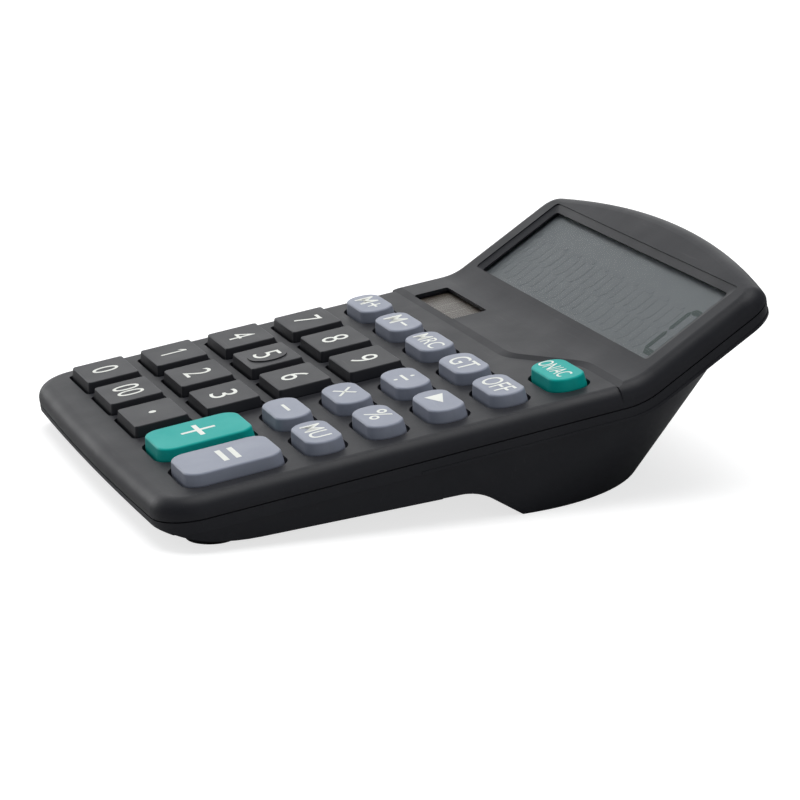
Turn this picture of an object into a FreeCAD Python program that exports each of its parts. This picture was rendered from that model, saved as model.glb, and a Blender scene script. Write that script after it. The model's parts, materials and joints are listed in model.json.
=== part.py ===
# Desk calculator with a raised display head, sprung keys, a solar cell and one AA cell.
# Lengths are millimetres and angles are degrees. Every piece is modelled in the key deck's
# own frame: X to the right, Y from the front edge towards the display, Z out of the deck,
# with Z = 0 on the deck. At the end the assembly is tilted onto its feet and stand block.
import FreeCAD, Part
import math
import os
from collections import namedtuple

Vector = FreeCAD.Vector

# Case outline, seen square to the deck
CASE_WIDTH = 119.0
FRONT_BOW = 1.4
FRONT_CORNER_R = 10.0
REAR_CORNER_R = 6.0
REAR_ARC_R = 270.0
DECK_LENGTH = 109.0
HEAD_LENGTH = 43.7
HEAD_TILT = 24.6
DECK_TILT = 8.6
FOLD_R = 14.0

# Case walls
WALL = 2.0
LOWER_WALL = 1.7
SEAM_DROP = 4.3
BAND_HEIGHT = 2.9
SEAM_GROOVE_HEIGHT = 0.3
SEAM_GROOVE_DEPTH = 0.5
TOP_EDGE_R = 3.6
LIP_HEIGHT = 1.2
LIP_THICKNESS = 0.9
LIP_CLEARANCE = 0.1
BEAD_HEIGHT = 0.6
BEAD_PROUD = 0.15
BEAD_START_Y = 58.0

# Raised panel between the keys and the display
PANEL_RISE = 0.6
PANEL_DEPTH = 13.8
PANEL_SIDE_DEPTH = 3.0
PANEL_SWEEP_START = 42.5
PANEL_SWEEP_END = 22.5
PANEL_SWEEP_R = 14.0
PANEL_SLOPE = 1.8

# Sloping base, arch and stand block
BASE_DROP = 10.4
BASE_SLOPE = 3.45
BASE_INSET = 0.4
BASE_DRAFT = 1.8
FRONT_SLOPE = 24.0
FRONT_SLOPE_Y = 12.5
FRONT_SLOPE_R = 50.0
GROUND_DROP = 10.55
ARCH_TIP_Y = 79.7
ARCH_SLOPE = 40.0
ARCH_R = 12.0
BLOCK_FOOT_REAR = 124.6
BLOCK_FOOT_CORNER_R = 50.0
BLOCK_TOP_SETBACK = 4.97
BLOCK_TOP_CORNER_R = 8.0
BLOCK_TOP_DROP = 14.4
BLOCK_TOP_SLOPE = 10.0
BLOCK_FRONT_Y = 62.0
BLOCK_LEAD = 6.0
BLOCK_FLOOR = 3.6

# Key layout: margins from the deck's edges to the keys, and gaps between them
KEY_SIDE_MARGIN = 7.975
KEY_FRONT_MARGIN = 9.75
DIGIT_FRONT_MARGIN = 9.95
KEY_REAR_MARGIN = 7.4
DIGIT_COLUMN_GAP = 4.0
PAD_COLUMN_GAP = 4.15
BANK_GAP = 1.3
DIGIT_ROW_GAP = 3.82
PAD_ROW_GAP = 5.3
MEMORY_ROW_GAP = 5.05
BAR_GAP = 4.95
BAR_DEPTH = 22.1
COLUMNS = 5
DIGIT_ROWS = 4
PAD_ROWS = 5

# Keys
DIGIT_RISE = 2.3
PAD_RISE = 2.6
KEY_TRAVEL = 1.2
KEY_HOLE_CLEARANCE = 0.75
KEY_FLANGE_OVERLAP = 0.4
KEY_FLANGE_THICKNESS = 0.9
KEY_FLANGE_GAP = 0.1
KEY_SHELL = 1.4
POST_R = 2.2
POST_SPREAD = 6.0
DIGIT_TAPER = 0.45
DIGIT_CORNER_R = 0.8
DIGIT_TOP_R = 0.3
PAD_TAPER = 0.3
PAD_CORNER_R = 3.8
PAD_TOP_R = 0.5
LOCATOR_LENGTH = 10.0
LOCATOR_WIDTH = 9.1
LOCATOR_RISE = 0.25

# Key mat and main board
DOME_BASE_R = 4.2
DOME_TOP_R = 2.6
DOME_GAP = 0.05
MAT_THICKNESS = 0.8
MAT_MARGIN = 0.65
BOARD_THICKNESS = 1.2
BOARD_CLEARANCE = 1.3
BOARD_FRONT_Y = 11.0
BOARD_REAR_GAP = 3.0
BOARD_CORNER_R = 7.0

# Screws and bosses
BOSS_R = 1.8
BOSS_WALL_GAP = 1.0
BOSS_HOLE_R = 1.0
BOARD_BOSS_YS = (22.0, 45.0)
BOARD_REAR_BOSS_GAP = 19.0
CASE_BOSS_YS = (30.0, 60.0)
REAR_BOSS_GAP = 0.5
REAR_BOSS_CLEARANCE = 1.3
CASE_BOSS_END = 8.0
COLUMN_R = 3.5
SCREW_HOLE_R = 1.15
SCREW_HEAD_HOLE_R = 2.1
SCREW_SEAT = 2.0
SCREW_SHANK_R = 0.9
SCREW_HEAD_R = 1.7
SCREW_HEAD_HEIGHT = 1.2
SCREW_TIP_GAP = 0.6
BOARD_HOLE_CLEARANCE = 0.4

# Display, in the head's own frame: x, distance up the head from the fold, height off it
WINDOW_SIDE_MARGIN = 7.5
WINDOW_START = 6.6
WINDOW_DEPTH = 25.6
WINDOW_CORNER_R = 1.2
BEZEL_LIP = 1.2
BEZEL_DROP = 0.8
BEZEL_STEP = 0.25
BEZEL_SIDE_SLOPE = 2.6
BEZEL_REAR_SLOPE = 2.0
BEZEL_FRONT = 0.4
LENS_MARGIN = 0.9
LENS_CLEARANCE = 0.1
LCD_GAP = 0.1
LCD_GLASS = 0.7
LCD_LEDGE = 3.0
LCD_REFLECTOR = 0.2
HOLDER_FLOOR = 0.8
HOLDER_CLEARANCE = 0.15
HOLDER_START = 3.4
HOLDER_END = 30.4
HOLDER_CORNER_R = 6.0
HOLDER_WALL_GAP = 1.0
STAKE_R = 1.0
STAKE_HEAD_R = 1.7
STAKE_HEAD_HEIGHT = 0.45
STAKE_CLEARANCE = 0.1
STAKE_PLACES = (9.0, 24.0)
RIBBON_SIDE = 39.5
RIBBON_THICKNESS = 0.2
RIBBON_LAP = 2.4
RIBBON_BEND = 0.4

# Solar cell under the raised panel
SOLAR_SIDE = 26.3
SOLAR_BACK = 8.7
SOLAR_WIDTH = 27.0
SOLAR_DEPTH = 8.8
SOLAR_CORNER_R = 0.8
SOLAR_LIP = 0.8
SOLAR_MARGIN = 1.0
SOLAR_WINDOW_THICKNESS = 0.8
SOLAR_CLEARANCE = 0.1
LEAD_R = 0.5
LEAD_SPREAD = 8.0
LEAD_BACK = 4.7

# Battery bay
CELL_R = 7.1
CELL_LENGTH = 49.5
CELL_NUB_R = 2.7
CELL_NUB_LENGTH = 1.0
CELL_Y = 94.0
CELL_DROP = 15.4
BAY_CLEARANCE = 0.8
BAY_WALL = 1.5
CONTACT_THICKNESS = 0.4
CONTACT_WIDTH = 11.0
CONTACT_GAP = 0.1
SPRING_LENGTH = 1.7
SPRING_HALF_HEIGHT = 3.0
BAY_TOP_GAP = 0.8

# Battery door, in the plane that the calculator stands on
DOOR_HALF_WIDTH = 30.5
DOOR_START = 83.5
DOOR_END = 117.8
DOOR_THICKNESS = 1.6
DOOR_RECESS = 0.2
DOOR_CLEARANCE = 0.2
DOOR_TONGUE = 1.0
DOOR_TONGUE_HEIGHT = 0.8
GRIP_COUNT = 4
GRIP_PITCH = 2.4
GRIP_WIDTH = 0.9
GRIP_DEPTH = 0.4
GRIP_LENGTH = 16.0
GRIP_END_GAP = 3.0

# Rubber feet at the front corners
FOOT_R = 5.5
FOOT_HEIGHT = 3.2
FOOT_WALL = 1.0
FOOT_EDGE_R = 0.6
FOOT_SIDE = 11.0
FOOT_PLACE = 13.4
FOOT_CLEARANCE = 0.1

# Chip and small components under the board
CHIP_X = -12.0
CHIP_Y = 52.0
CHIP_R = 7.0
CHIP_HEIGHT = 0.9
COMPONENT_SIZE = (3.2, 1.6, 0.9)
COMPONENT_PITCH = 5.0
COMPONENT_COUNT = 6
COMPONENT_X = 16.0
COMPONENT_Y = 40.0

# Values that follow from the ones above
HALF_WIDTH = CASE_WIDTH / 2
TILT = math.radians(HEAD_TILT)
GROUND = math.radians(DECK_TILT)
REAR_Y = DECK_LENGTH + HEAD_LENGTH * math.cos(TILT)
PANEL_FRONT_Y = DECK_LENGTH - PANEL_DEPTH
WINDOW_WIDTH = CASE_WIDTH - 2 * WINDOW_SIDE_MARGIN
RIBBON_WIDTH = CASE_WIDTH - 2 * RIBBON_SIDE
SOLAR_X = SOLAR_SIDE - HALF_WIDTH
SOLAR_Y = DECK_LENGTH - SOLAR_BACK
FOOT_X = HALF_WIDTH - FOOT_SIDE
BOARD_REAR_Y = DECK_LENGTH - BOARD_REAR_GAP
FRONT_R = (HALF_WIDTH ** 2 + FRONT_BOW ** 2) / (2 * FRONT_BOW)
BAND_DROP = SEAM_DROP + BAND_HEIGHT
BOSS_X = HALF_WIDTH - WALL - BOSS_WALL_GAP - BOSS_R
FLANGE_TOP = -WALL - KEY_FLANGE_GAP
FLANGE_BOTTOM = FLANGE_TOP - KEY_FLANGE_THICKNESS
DOME_HEIGHT = 2 * KEY_TRAVEL
MAT_TOP = FLANGE_BOTTOM - DOME_GAP - DOME_HEIGHT
BOARD_TOP = MAT_TOP - MAT_THICKNESS
BOARD_BOTTOM = BOARD_TOP - BOARD_THICKNESS
LCD_TOP = -WALL - LCD_GAP
LCD_BOTTOM = LCD_TOP - 2 * LCD_GLASS
HOLDER_BOTTOM = LCD_BOTTOM - LCD_REFLECTOR - HOLDER_FLOOR
REAR_BOSS_X = DOOR_HALF_WIDTH + DOOR_CLEARANCE + DOOR_TONGUE + COLUMN_R + REAR_BOSS_CLEARANCE
CELL_REACH = (CELL_LENGTH + CELL_NUB_LENGTH) / 2
BAY_RIGHT = CELL_REACH + CONTACT_THICKNESS + CONTACT_GAP
BAY_LEFT = -BAY_RIGHT - SPRING_LENGTH
BAY_HALF_DEPTH = CELL_R + BAY_CLEARANCE
FAR = 2 * (DECK_LENGTH + HEAD_LENGTH)
ABOVE = -FOLD_R / 2

# Key sizes and places: columns and rows share the room between the margins
KEY_FIELD = CASE_WIDTH - 2 * KEY_SIDE_MARGIN
COLUMN_PITCH = (KEY_FIELD + DIGIT_COLUMN_GAP - BANK_GAP) / COLUMNS
DIGIT_WIDTH = COLUMN_PITCH - DIGIT_COLUMN_GAP
PAD_WIDTH = COLUMN_PITCH - PAD_COLUMN_GAP
OUTER_COLUMN_X = (KEY_FIELD - DIGIT_WIDTH) / 2
PAD_FIELD = DECK_LENGTH - KEY_REAR_MARGIN - KEY_FRONT_MARGIN - BAR_DEPTH - BAR_GAP
PAD_ROW_PITCH = (PAD_FIELD + PAD_ROW_GAP) / PAD_ROWS
PAD_DEPTH = PAD_ROW_PITCH - PAD_ROW_GAP
ON_ROW_Y = DECK_LENGTH - KEY_REAR_MARGIN - PAD_DEPTH / 2
MEMORY_ROW_Y = ON_ROW_Y - PAD_ROW_PITCH
BAR_Y = KEY_FRONT_MARGIN + BAR_DEPTH / 2
DIGIT_FIELD = MEMORY_ROW_Y - PAD_DEPTH / 2 - MEMORY_ROW_GAP - DIGIT_FRONT_MARGIN
DIGIT_ROW_PITCH = (DIGIT_FIELD + DIGIT_ROW_GAP) / DIGIT_ROWS
DIGIT_DEPTH = DIGIT_ROW_PITCH - DIGIT_ROW_GAP
DIGIT_XS = [COLUMN_PITCH * i - OUTER_COLUMN_X for i in range(3)]
PAD_XS = [OUTER_COLUMN_X - COLUMN_PITCH, OUTER_COLUMN_X]
MEMORY_XS = DIGIT_XS + PAD_XS
DIGIT_YS = [DIGIT_FRONT_MARGIN + DIGIT_DEPTH / 2 + DIGIT_ROW_PITCH * i for i in range(DIGIT_ROWS)]
PAD_YS = [MEMORY_ROW_Y - PAD_ROW_PITCH * i for i in range(PAD_ROWS - 2, 0, -1)]
KeyKind = namedtuple("KeyKind", "width depth rise corner_r taper top_r posts")
DIGIT = KeyKind(DIGIT_WIDTH, DIGIT_DEPTH, DIGIT_RISE, DIGIT_CORNER_R, DIGIT_TAPER, DIGIT_TOP_R, (0.0,))
PAD = KeyKind(PAD_WIDTH, PAD_DEPTH, PAD_RISE, PAD_CORNER_R, PAD_TAPER, PAD_TOP_R, (0.0,))
BAR = KeyKind(PAD_WIDTH, BAR_DEPTH, PAD_RISE, PAD_CORNER_R, PAD_TAPER, PAD_TOP_R, (-POST_SPREAD, POST_SPREAD))
CASE_BOSSES = [(side * BOSS_X, y) for side in (-1, 1) for y in CASE_BOSS_YS]
CASE_BOSSES += [(side * REAR_BOSS_X, DECK_LENGTH - REAR_BOSS_GAP) for side in (-1, 1)]
BOARD_BOSS_ROWS = BOARD_BOSS_YS + (DECK_LENGTH - BOARD_REAR_BOSS_GAP,)
BOARD_BOSSES = [(side * BOSS_X, y) for side in (-1, 1) for y in BOARD_BOSS_ROWS]
STAKES = [(side, place) for side in (-1, 1) for place in STAKE_PLACES]


def key_places():
    """Returns the name, centre and kind of each key."""
    places = []
    rows = [("0", "00", "point"), ("1", "2", "3"), ("4", "5", "6"), ("7", "8", "9")]
    for y, names in zip(DIGIT_YS, rows):
        places += [("key_" + name, x, y, DIGIT) for x, name in zip(DIGIT_XS, names)]
    pads = [("minus", "mark_up"), ("multiply", "percent"), ("divide", "step_back")]
    for y, names in zip(PAD_YS, pads):
        places += [("key_" + name, x, y, PAD) for x, name in zip(PAD_XS, names)]
    memory = ("memory_plus", "memory_minus", "memory_recall", "grand_total", "off")
    places += [("key_" + name, x, MEMORY_ROW_Y, PAD) for x, name in zip(MEMORY_XS, memory)]
    places.append(("key_on", OUTER_COLUMN_X, ON_ROW_Y, PAD))
    places += [("key_" + name, x, BAR_Y, BAR) for x, name in zip(PAD_XS, ("plus", "equals"))]
    return places


def rounded_loop(corners):
    """Returns a closed wire in the XY plane through (x, y, radius) corners."""
    spans = []
    count = len(corners)
    for i, (x, y, radius) in enumerate(corners):
        here = Vector(x, y, 0)
        before = (Vector(*corners[i - 1][:2], 0) - here).normalize()
        after = (Vector(*corners[(i + 1) % count][:2], 0) - here).normalize()
        if not radius:
            spans.append((here, None, here))
            continue
        half = before.getAngle(after) / 2
        reach = radius / math.tan(half)
        inward = (before + after).normalize()
        middle = here + inward * (radius / math.sin(half) - radius)
        spans.append((here + before * reach, middle, here + after * reach))
    edges = []
    for i, (start, middle, end) in enumerate(spans):
        if middle:
            edges.append(Part.Arc(start, middle, end).toShape())
        following = spans[(i + 1) % count][0]
        if end.distanceToPoint(following) > 1e-6:
            edges.append(Part.LineSegment(end, following).toShape())
    return Part.Wire(edges)


def rounded_rectangle(width, depth, radius, x=0.0, y=0.0, z=0.0):
    """Returns a rounded rectangle's wire about a centre."""
    a = width / 2
    b = depth / 2
    wire = rounded_loop([(-a, -b, radius), (a, -b, radius), (a, b, radius), (-a, b, radius)])
    wire.translate(Vector(x, y, z))
    return wire


def prism(wire, height):
    """Returns a closed wire's face drawn out along Z."""
    return Part.Face(wire).extrude(Vector(0, 0, height))


def rounded_block(width, depth, radius, x, y, low, high):
    """Returns an upright block with a rounded rectangle as its plan."""
    return prism(rounded_rectangle(width, depth, radius, x, y, low), high - low)


def cylinder(radius, x, y, low, high):
    """Returns an upright cylinder between two heights."""
    return Part.makeCylinder(radius, high - low, Vector(x, y, low))


def box(x0, x1, y0, y1, z0, z1):
    """Returns a box between two corners."""
    return Part.makeBox(x1 - x0, y1 - y0, z1 - z0, Vector(x0, y0, z0))


def side_prism(corners, half_width=CASE_WIDTH):
    """Returns a side-view outline of (y, z, radius) corners, drawn out along X both ways."""
    face = Part.Face(rounded_loop(corners))
    face.rotate(Vector(0, 0, 0), Vector(1, 1, 1), 120)
    face.translate(Vector(-half_width, 0, 0))
    return face.extrude(Vector(2 * half_width, 0, 0))


def on_head(shape):
    """Moves a shape from the head's frame into the deck's."""
    shape.rotate(Vector(0, 0, 0), Vector(1, 0, 0), HEAD_TILT)
    shape.translate(Vector(0, DECK_LENGTH, 0))
    return shape


def on_ground(shape):
    """Moves a shape from the frame of the surface stood on into the deck's."""
    shape.rotate(Vector(0, 0, 0), Vector(1, 0, 0), -DECK_TILT)
    shape.translate(Vector(0, 0, -GROUND_DROP))
    return shape


def ground_z(y):
    """Returns the height of the surface stood on under a place on the deck."""
    return -GROUND_DROP - y * math.tan(GROUND)


def base_z(y):
    """Returns the height of the sloping base's underside."""
    return -BASE_DROP - y * math.tan(math.radians(BASE_SLOPE))


def plan_outline(inset, z):
    """Returns the case outline, drawn in by an inset, at a height."""
    corner_x = HALF_WIDTH - FRONT_CORNER_R
    corner_y = FRONT_R - math.sqrt((FRONT_R - FRONT_CORNER_R) ** 2 - corner_x ** 2)
    rear_x = HALF_WIDTH - REAR_CORNER_R
    rear_centre = REAR_Y - REAR_ARC_R
    rear_y = rear_centre + math.sqrt((REAR_ARC_R - REAR_CORNER_R) ** 2 - rear_x ** 2)
    side = HALF_WIDTH - inset
    front_way = Vector(corner_x, corner_y - FRONT_R, 0).normalize()
    rear_way = Vector(rear_x, rear_y - rear_centre, 0).normalize()
    front_end = Vector(0, FRONT_R, 0) + front_way * (FRONT_R - inset)
    rear_end = Vector(0, rear_centre, 0) + rear_way * (REAR_ARC_R - inset)
    front_middle = Vector(0, inset, 0)
    rear_middle = Vector(0, REAR_Y - inset, 0)
    front_bulge = (front_way + Vector(1, 0, 0)).normalize() * (FRONT_CORNER_R - inset)
    rear_bulge = (rear_way + Vector(1, 0, 0)).normalize() * (REAR_CORNER_R - inset)
    front_corner = Vector(corner_x, corner_y, 0) + front_bulge
    rear_corner = Vector(rear_x, rear_y, 0) + rear_bulge

    def left(point):
        return Vector(-point.x, point.y, 0)

    low = Vector(side, corner_y, 0)
    high = Vector(side, rear_y, 0)
    curves = [
        Part.Arc(left(front_end), front_middle, front_end),
        Part.Arc(front_end, front_corner, low),
        Part.LineSegment(low, high),
        Part.Arc(high, rear_corner, rear_end),
        Part.Arc(rear_end, rear_middle, left(rear_end)),
        Part.Arc(left(rear_end), left(rear_corner), left(high)),
        Part.LineSegment(left(high), left(low)),
        Part.Arc(left(low), left(front_corner), left(front_end)),
    ]
    wire = Part.Wire([curve.toShape() for curve in curves])
    wire.translate(Vector(0, 0, z))
    return wire


def plan_prism(inset):
    """Returns a tall upright prism of the case outline."""
    return prism(plan_outline(inset, -FAR), 2 * FAR)


def fold_corner(drop):
    """Returns the corner where deck and head meet, a drop below both."""
    return (DECK_LENGTH + drop * math.tan(TILT / 2), -drop, FOLD_R + drop)


def head_point(along, drop):
    """Returns the side-view place of a point in the head's frame."""
    y = DECK_LENGTH + along * math.cos(TILT) + drop * math.sin(TILT)
    return (y, along * math.sin(TILT) - drop * math.cos(TILT), 0)


def folded_slab(top, bottom, start=-FAR):
    """Returns the layer between two drops that follows the deck and then the head."""
    return side_prism([
        (start, -bottom, 0), fold_corner(bottom), head_point(FAR, bottom),
        head_point(FAR, top), fold_corner(top), (start, -top, 0),
    ])


def case_layer(inset, top, bottom):
    """Returns the layer of the case between two drops, drawn in by an inset."""
    return plan_prism(inset).common(folded_slab(top, bottom))


def rounded_rim(solid, skip):
    """Rounds the outer edges of a solid's top, leaving those that skip says."""
    rim = []
    for edge in solid.Edges:
        middle = edge.valueAt((edge.FirstParameter + edge.LastParameter) / 2)
        if not skip(middle):
            rim.append(edge)
    return solid.makeFillet(TOP_EDGE_R, rim)


def deck_solid():
    """Returns the key deck's block, down to the seam."""
    solid = plan_prism(0.0).common(box(-FAR, FAR, -FAR, DECK_LENGTH, -SEAM_DROP, 0.0))
    return rounded_rim(solid, lambda p: p.z < -0.01 or p.y > DECK_LENGTH - 0.01)


def panel_region(setback, z):
    """Returns the outline of all that lies behind the raised panel's front edge, set back, at a height."""
    front = PANEL_FRONT_Y + setback
    side_front = DECK_LENGTH - PANEL_SIDE_DEPTH + setback
    region = rounded_loop([
        (-FAR, front, 0), (HALF_WIDTH - PANEL_SWEEP_START, front, PANEL_SWEEP_R),
        (HALF_WIDTH - PANEL_SWEEP_END, side_front, PANEL_SWEEP_R), (FAR, side_front, 0),
        (FAR, FAR, 0), (-FAR, FAR, 0),
    ])
    region.translate(Vector(0, 0, z))
    return region


def head_solid():
    """Returns the raised panel and the display head, down to the seam."""
    start = PANEL_FRONT_Y - PANEL_SWEEP_R
    crease = (DECK_LENGTH + PANEL_RISE / math.tan(TILT), PANEL_RISE, FOLD_R)
    layer = side_prism([
        (start, -SEAM_DROP, 0), fold_corner(SEAM_DROP), head_point(FAR, SEAM_DROP),
        head_point(FAR, 0.0), crease, (start, PANEL_RISE, 0),
    ])
    solid = plan_prism(0.0).common(layer)
    reach = crease[2] * math.tan(TILT / 2)

    def skip(p):
        on_slope = (p.y - DECK_LENGTH) * math.tan(TILT)
        top = max(PANEL_RISE, on_slope)
        if abs(p.y - crease[0]) < reach:
            top += reach * math.tan(TILT) / 8
        inside = abs(p.x) < 1.0 and p.y < REAR_Y - 1.0
        return inside or abs(p.z - top) > 0.7

    solid = rounded_rim(solid, skip)
    foot = panel_region(-PANEL_SLOPE / 2, 0.0)
    edge = panel_region(PANEL_SLOPE / 2, PANEL_RISE)
    slope = Part.makeLoft([foot, edge], True, True)
    return solid.common(slope.fuse([prism(foot, -FAR), prism(edge, FAR)]))


def window_rectangle(margin, height):
    """Returns the display opening's wire, grown by a margin, at a height off the head."""
    middle = WINDOW_START + WINDOW_DEPTH / 2
    width = WINDOW_WIDTH + 2 * margin
    depth = WINDOW_DEPTH + 2 * margin
    return rounded_rectangle(width, depth, WINDOW_CORNER_R + margin, 0.0, middle, height)


def bezel_rectangle(share, height):
    """Returns the display opening's wire, drawn in by a share of its slopes, at a height off the head."""
    start = WINDOW_START - BEZEL_FRONT
    end = WINDOW_START + WINDOW_DEPTH - share * BEZEL_REAR_SLOPE
    width = WINDOW_WIDTH - 2 * share * BEZEL_SIDE_SLOPE
    return rounded_rectangle(width, end - start, WINDOW_CORNER_R, 0.0, (start + end) / 2, height)


def window_cut():
    """Returns the sloping display opening with the rebate for its window."""
    mouth = prism(bezel_rectangle(0.0, -BEZEL_STEP), BEZEL_STEP + 1.0)
    slopes = Part.makeLoft([bezel_rectangle(0.0, -BEZEL_STEP), bezel_rectangle(1.0, -BEZEL_DROP)], True, True)
    throat = prism(bezel_rectangle(1.0, -BEZEL_DROP), BEZEL_DROP - BEZEL_LIP)
    rebate = prism(window_rectangle(LENS_MARGIN, -BEZEL_LIP), -WALL)
    return on_head(mouth.fuse([slopes, throat, rebate]))


def solar_cut():
    """Returns the solar opening with the rebate for its window and cell."""
    low = PANEL_RISE - SOLAR_LIP
    opening = rounded_block(SOLAR_WIDTH, SOLAR_DEPTH, SOLAR_CORNER_R, SOLAR_X, SOLAR_Y, low, PANEL_RISE + 1.0)
    width = SOLAR_WIDTH + 2 * SOLAR_MARGIN
    depth = SOLAR_DEPTH + 2 * SOLAR_MARGIN
    rebate = rounded_block(width, depth, SOLAR_CORNER_R, SOLAR_X, SOLAR_Y, -WALL - 1.0, low)
    return opening.fuse(rebate)


def key_hole(x, y, kind):
    """Returns the cut for a key through the deck."""
    width = kind.width + 2 * KEY_HOLE_CLEARANCE
    depth = kind.depth + 2 * KEY_HOLE_CLEARANCE
    return rounded_block(width, depth, kind.corner_r + KEY_HOLE_CLEARANCE, x, y, -WALL - 1.0, 1.0)


def stake_x(side):
    """Returns the place across the head of a display holder's stake."""
    rail = (WINDOW_WIDTH / 2 + HALF_WIDTH - WALL - HOLDER_WALL_GAP) / 2
    return side * rail


def upper_case():
    """Returns the upper case: deck, raised panel, display head, bosses and stakes."""
    shell = deck_solid().fuse(head_solid()).common(folded_slab(ABOVE, SEAM_DROP))
    shell = shell.cut(case_layer(WALL, WALL, SEAM_DROP + FAR / 4))
    rebate_inset = WALL - LIP_THICKNESS - LIP_CLEARANCE
    shell = shell.cut(case_layer(rebate_inset, SEAM_DROP - LIP_HEIGHT - LIP_CLEARANCE, SEAM_DROP + FAR / 4))
    cuts = [window_cut(), solar_cut()]
    cuts += [key_hole(x, y, kind) for name, x, y, kind in key_places()]
    shell = shell.cut(cuts)
    posts = [cylinder(BOSS_R, x, y, BOARD_TOP, -WALL / 2) for x, y in BOARD_BOSSES]
    posts += [cylinder(BOSS_R, x, y, -CASE_BOSS_END, -WALL / 2) for x, y in CASE_BOSSES]
    for side, place in STAKES:
        stake = cylinder(STAKE_R, stake_x(side), place, HOLDER_BOTTOM, -WALL)
        head = cylinder(STAKE_HEAD_R, stake_x(side), place, HOLDER_BOTTOM - STAKE_HEAD_HEIGHT, HOLDER_BOTTOM)
        posts.append(on_head(stake.fuse(head)))
    shell = shell.fuse(posts)
    holes = [cylinder(BOSS_HOLE_R, x, y, BOARD_TOP - 1.0, -WALL) for x, y in BOARD_BOSSES]
    holes += [cylinder(BOSS_HOLE_R, x, y, -CASE_BOSS_END - 1.0, -WALL) for x, y in CASE_BOSSES]
    return shell.cut(holes).removeSplitter()


def under_space(lift):
    """Returns the room under the lower case, raised by a wall's thickness."""
    tip_z = ground_z(ARCH_TIP_Y)
    slope = math.tan(math.radians(ARCH_SLOPE))
    base_slope = math.tan(math.radians(BASE_SLOPE))
    top_y = ARCH_TIP_Y - (base_z(ARCH_TIP_Y) - tip_z) / (slope - base_slope)
    front_z = base_z(FRONT_SLOPE_Y)
    rise = (FRONT_SLOPE_Y + FAR) * math.tan(math.radians(FRONT_SLOPE))
    space = side_prism([
        (-FAR, front_z + rise, 0), (-FAR, -2 * FAR, 0), (FAR, -2 * FAR, 0),
        (FAR, ground_z(FAR), 0), (ARCH_TIP_Y, tip_z, 0), (top_y, base_z(top_y), ARCH_R),
        (FRONT_SLOPE_Y, front_z, FRONT_SLOPE_R),
    ])
    space.translate(Vector(0, 0, lift))
    return space


def base_solid(inset):
    """Returns the drafted front base, drawn in by an inset."""
    top = plan_outline(BASE_INSET + inset, WALL - BAND_DROP)
    depth = BAND_DROP - WALL + GROUND_DROP
    low = plan_outline(BASE_INSET + BASE_DRAFT + inset, -BAND_DROP - depth)
    solid = Part.makeLoft([top, low], True, True)
    return solid.common(box(-FAR, FAR, -FAR, BLOCK_FRONT_Y, -FAR, FAR))


def block_section(half_width, rear, radius):
    """Returns a section through the stand block, from ahead of its front to its rear."""
    start = BLOCK_FRONT_Y - BLOCK_LEAD
    return rounded_loop([
        (-half_width, start, 0), (half_width, start, 0),
        (half_width, rear, radius), (-half_width, rear, radius),
    ])


def block_solid(inset):
    """Returns the flared stand block, drawn in by an inset."""
    half = HALF_WIDTH - BASE_INSET - inset
    foot = block_section(half - BASE_DRAFT, BLOCK_FOOT_REAR - inset, BLOCK_FOOT_CORNER_R - inset)
    top = block_section(half, REAR_Y - BLOCK_TOP_SETBACK - inset, BLOCK_TOP_CORNER_R - inset)
    top.rotate(Vector(0, 0, 0), Vector(1, 0, 0), BLOCK_TOP_SLOPE)
    top.translate(Vector(0, 0, -BLOCK_TOP_DROP))
    solid = Part.makeLoft([on_ground(foot), top], True, True)
    return solid.common(box(-FAR, FAR, BLOCK_FRONT_Y, FAR, -FAR, FAR))


def lower_shell():
    """Returns the lower case's outside and the hollow inside it."""
    above_seam = folded_slab(ABOVE, SEAM_DROP)
    bead = plan_prism(-BEAD_PROUD).common(folded_slab(BAND_DROP - BEAD_HEIGHT, BAND_DROP, BEAD_START_Y))
    outside = base_solid(0.0).fuse([block_solid(0.0), case_layer(0.0, SEAM_DROP, BAND_DROP), bead])
    groove = case_layer(-BEAD_PROUD, SEAM_DROP, SEAM_DROP + SEAM_GROOVE_HEIGHT)
    groove = groove.cut(plan_prism(SEAM_GROOVE_DEPTH))
    outside = outside.cut([under_space(0.0), above_seam, groove])
    hollow = case_layer(WALL, ABOVE, BAND_DROP - WALL)
    floor = on_ground(box(-FAR, FAR, -FAR, FAR, -FAR, BLOCK_FLOOR))
    base = base_solid(LOWER_WALL).cut(under_space(WALL))
    block = block_solid(LOWER_WALL).cut([under_space(WALL), floor])
    return outside, hollow.fuse([base, block])


def door_pocket():
    """Returns the battery door's pocket and its two tongue slots, open to the rear."""
    high = DOOR_RECESS + DOOR_THICKNESS + DOOR_CLEARANCE
    half = DOOR_HALF_WIDTH + DOOR_CLEARANCE
    pocket = box(-half, half, DOOR_START - DOOR_CLEARANCE, FAR, -1.0, high)
    reach = half + DOOR_TONGUE
    slot_low = high - DOOR_TONGUE_HEIGHT - 2 * DOOR_CLEARANCE
    slot = box(-reach, reach, DOOR_START - DOOR_CLEARANCE, FAR, slot_low, high)
    return on_ground(pocket.fuse(slot))


def bay_block(margin, low, high):
    """Returns the battery bay's box, grown by a margin."""
    y = BAY_HALF_DEPTH + margin
    return box(BAY_LEFT - margin, BAY_RIGHT + margin, CELL_Y - y, CELL_Y + y, low, high)


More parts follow.
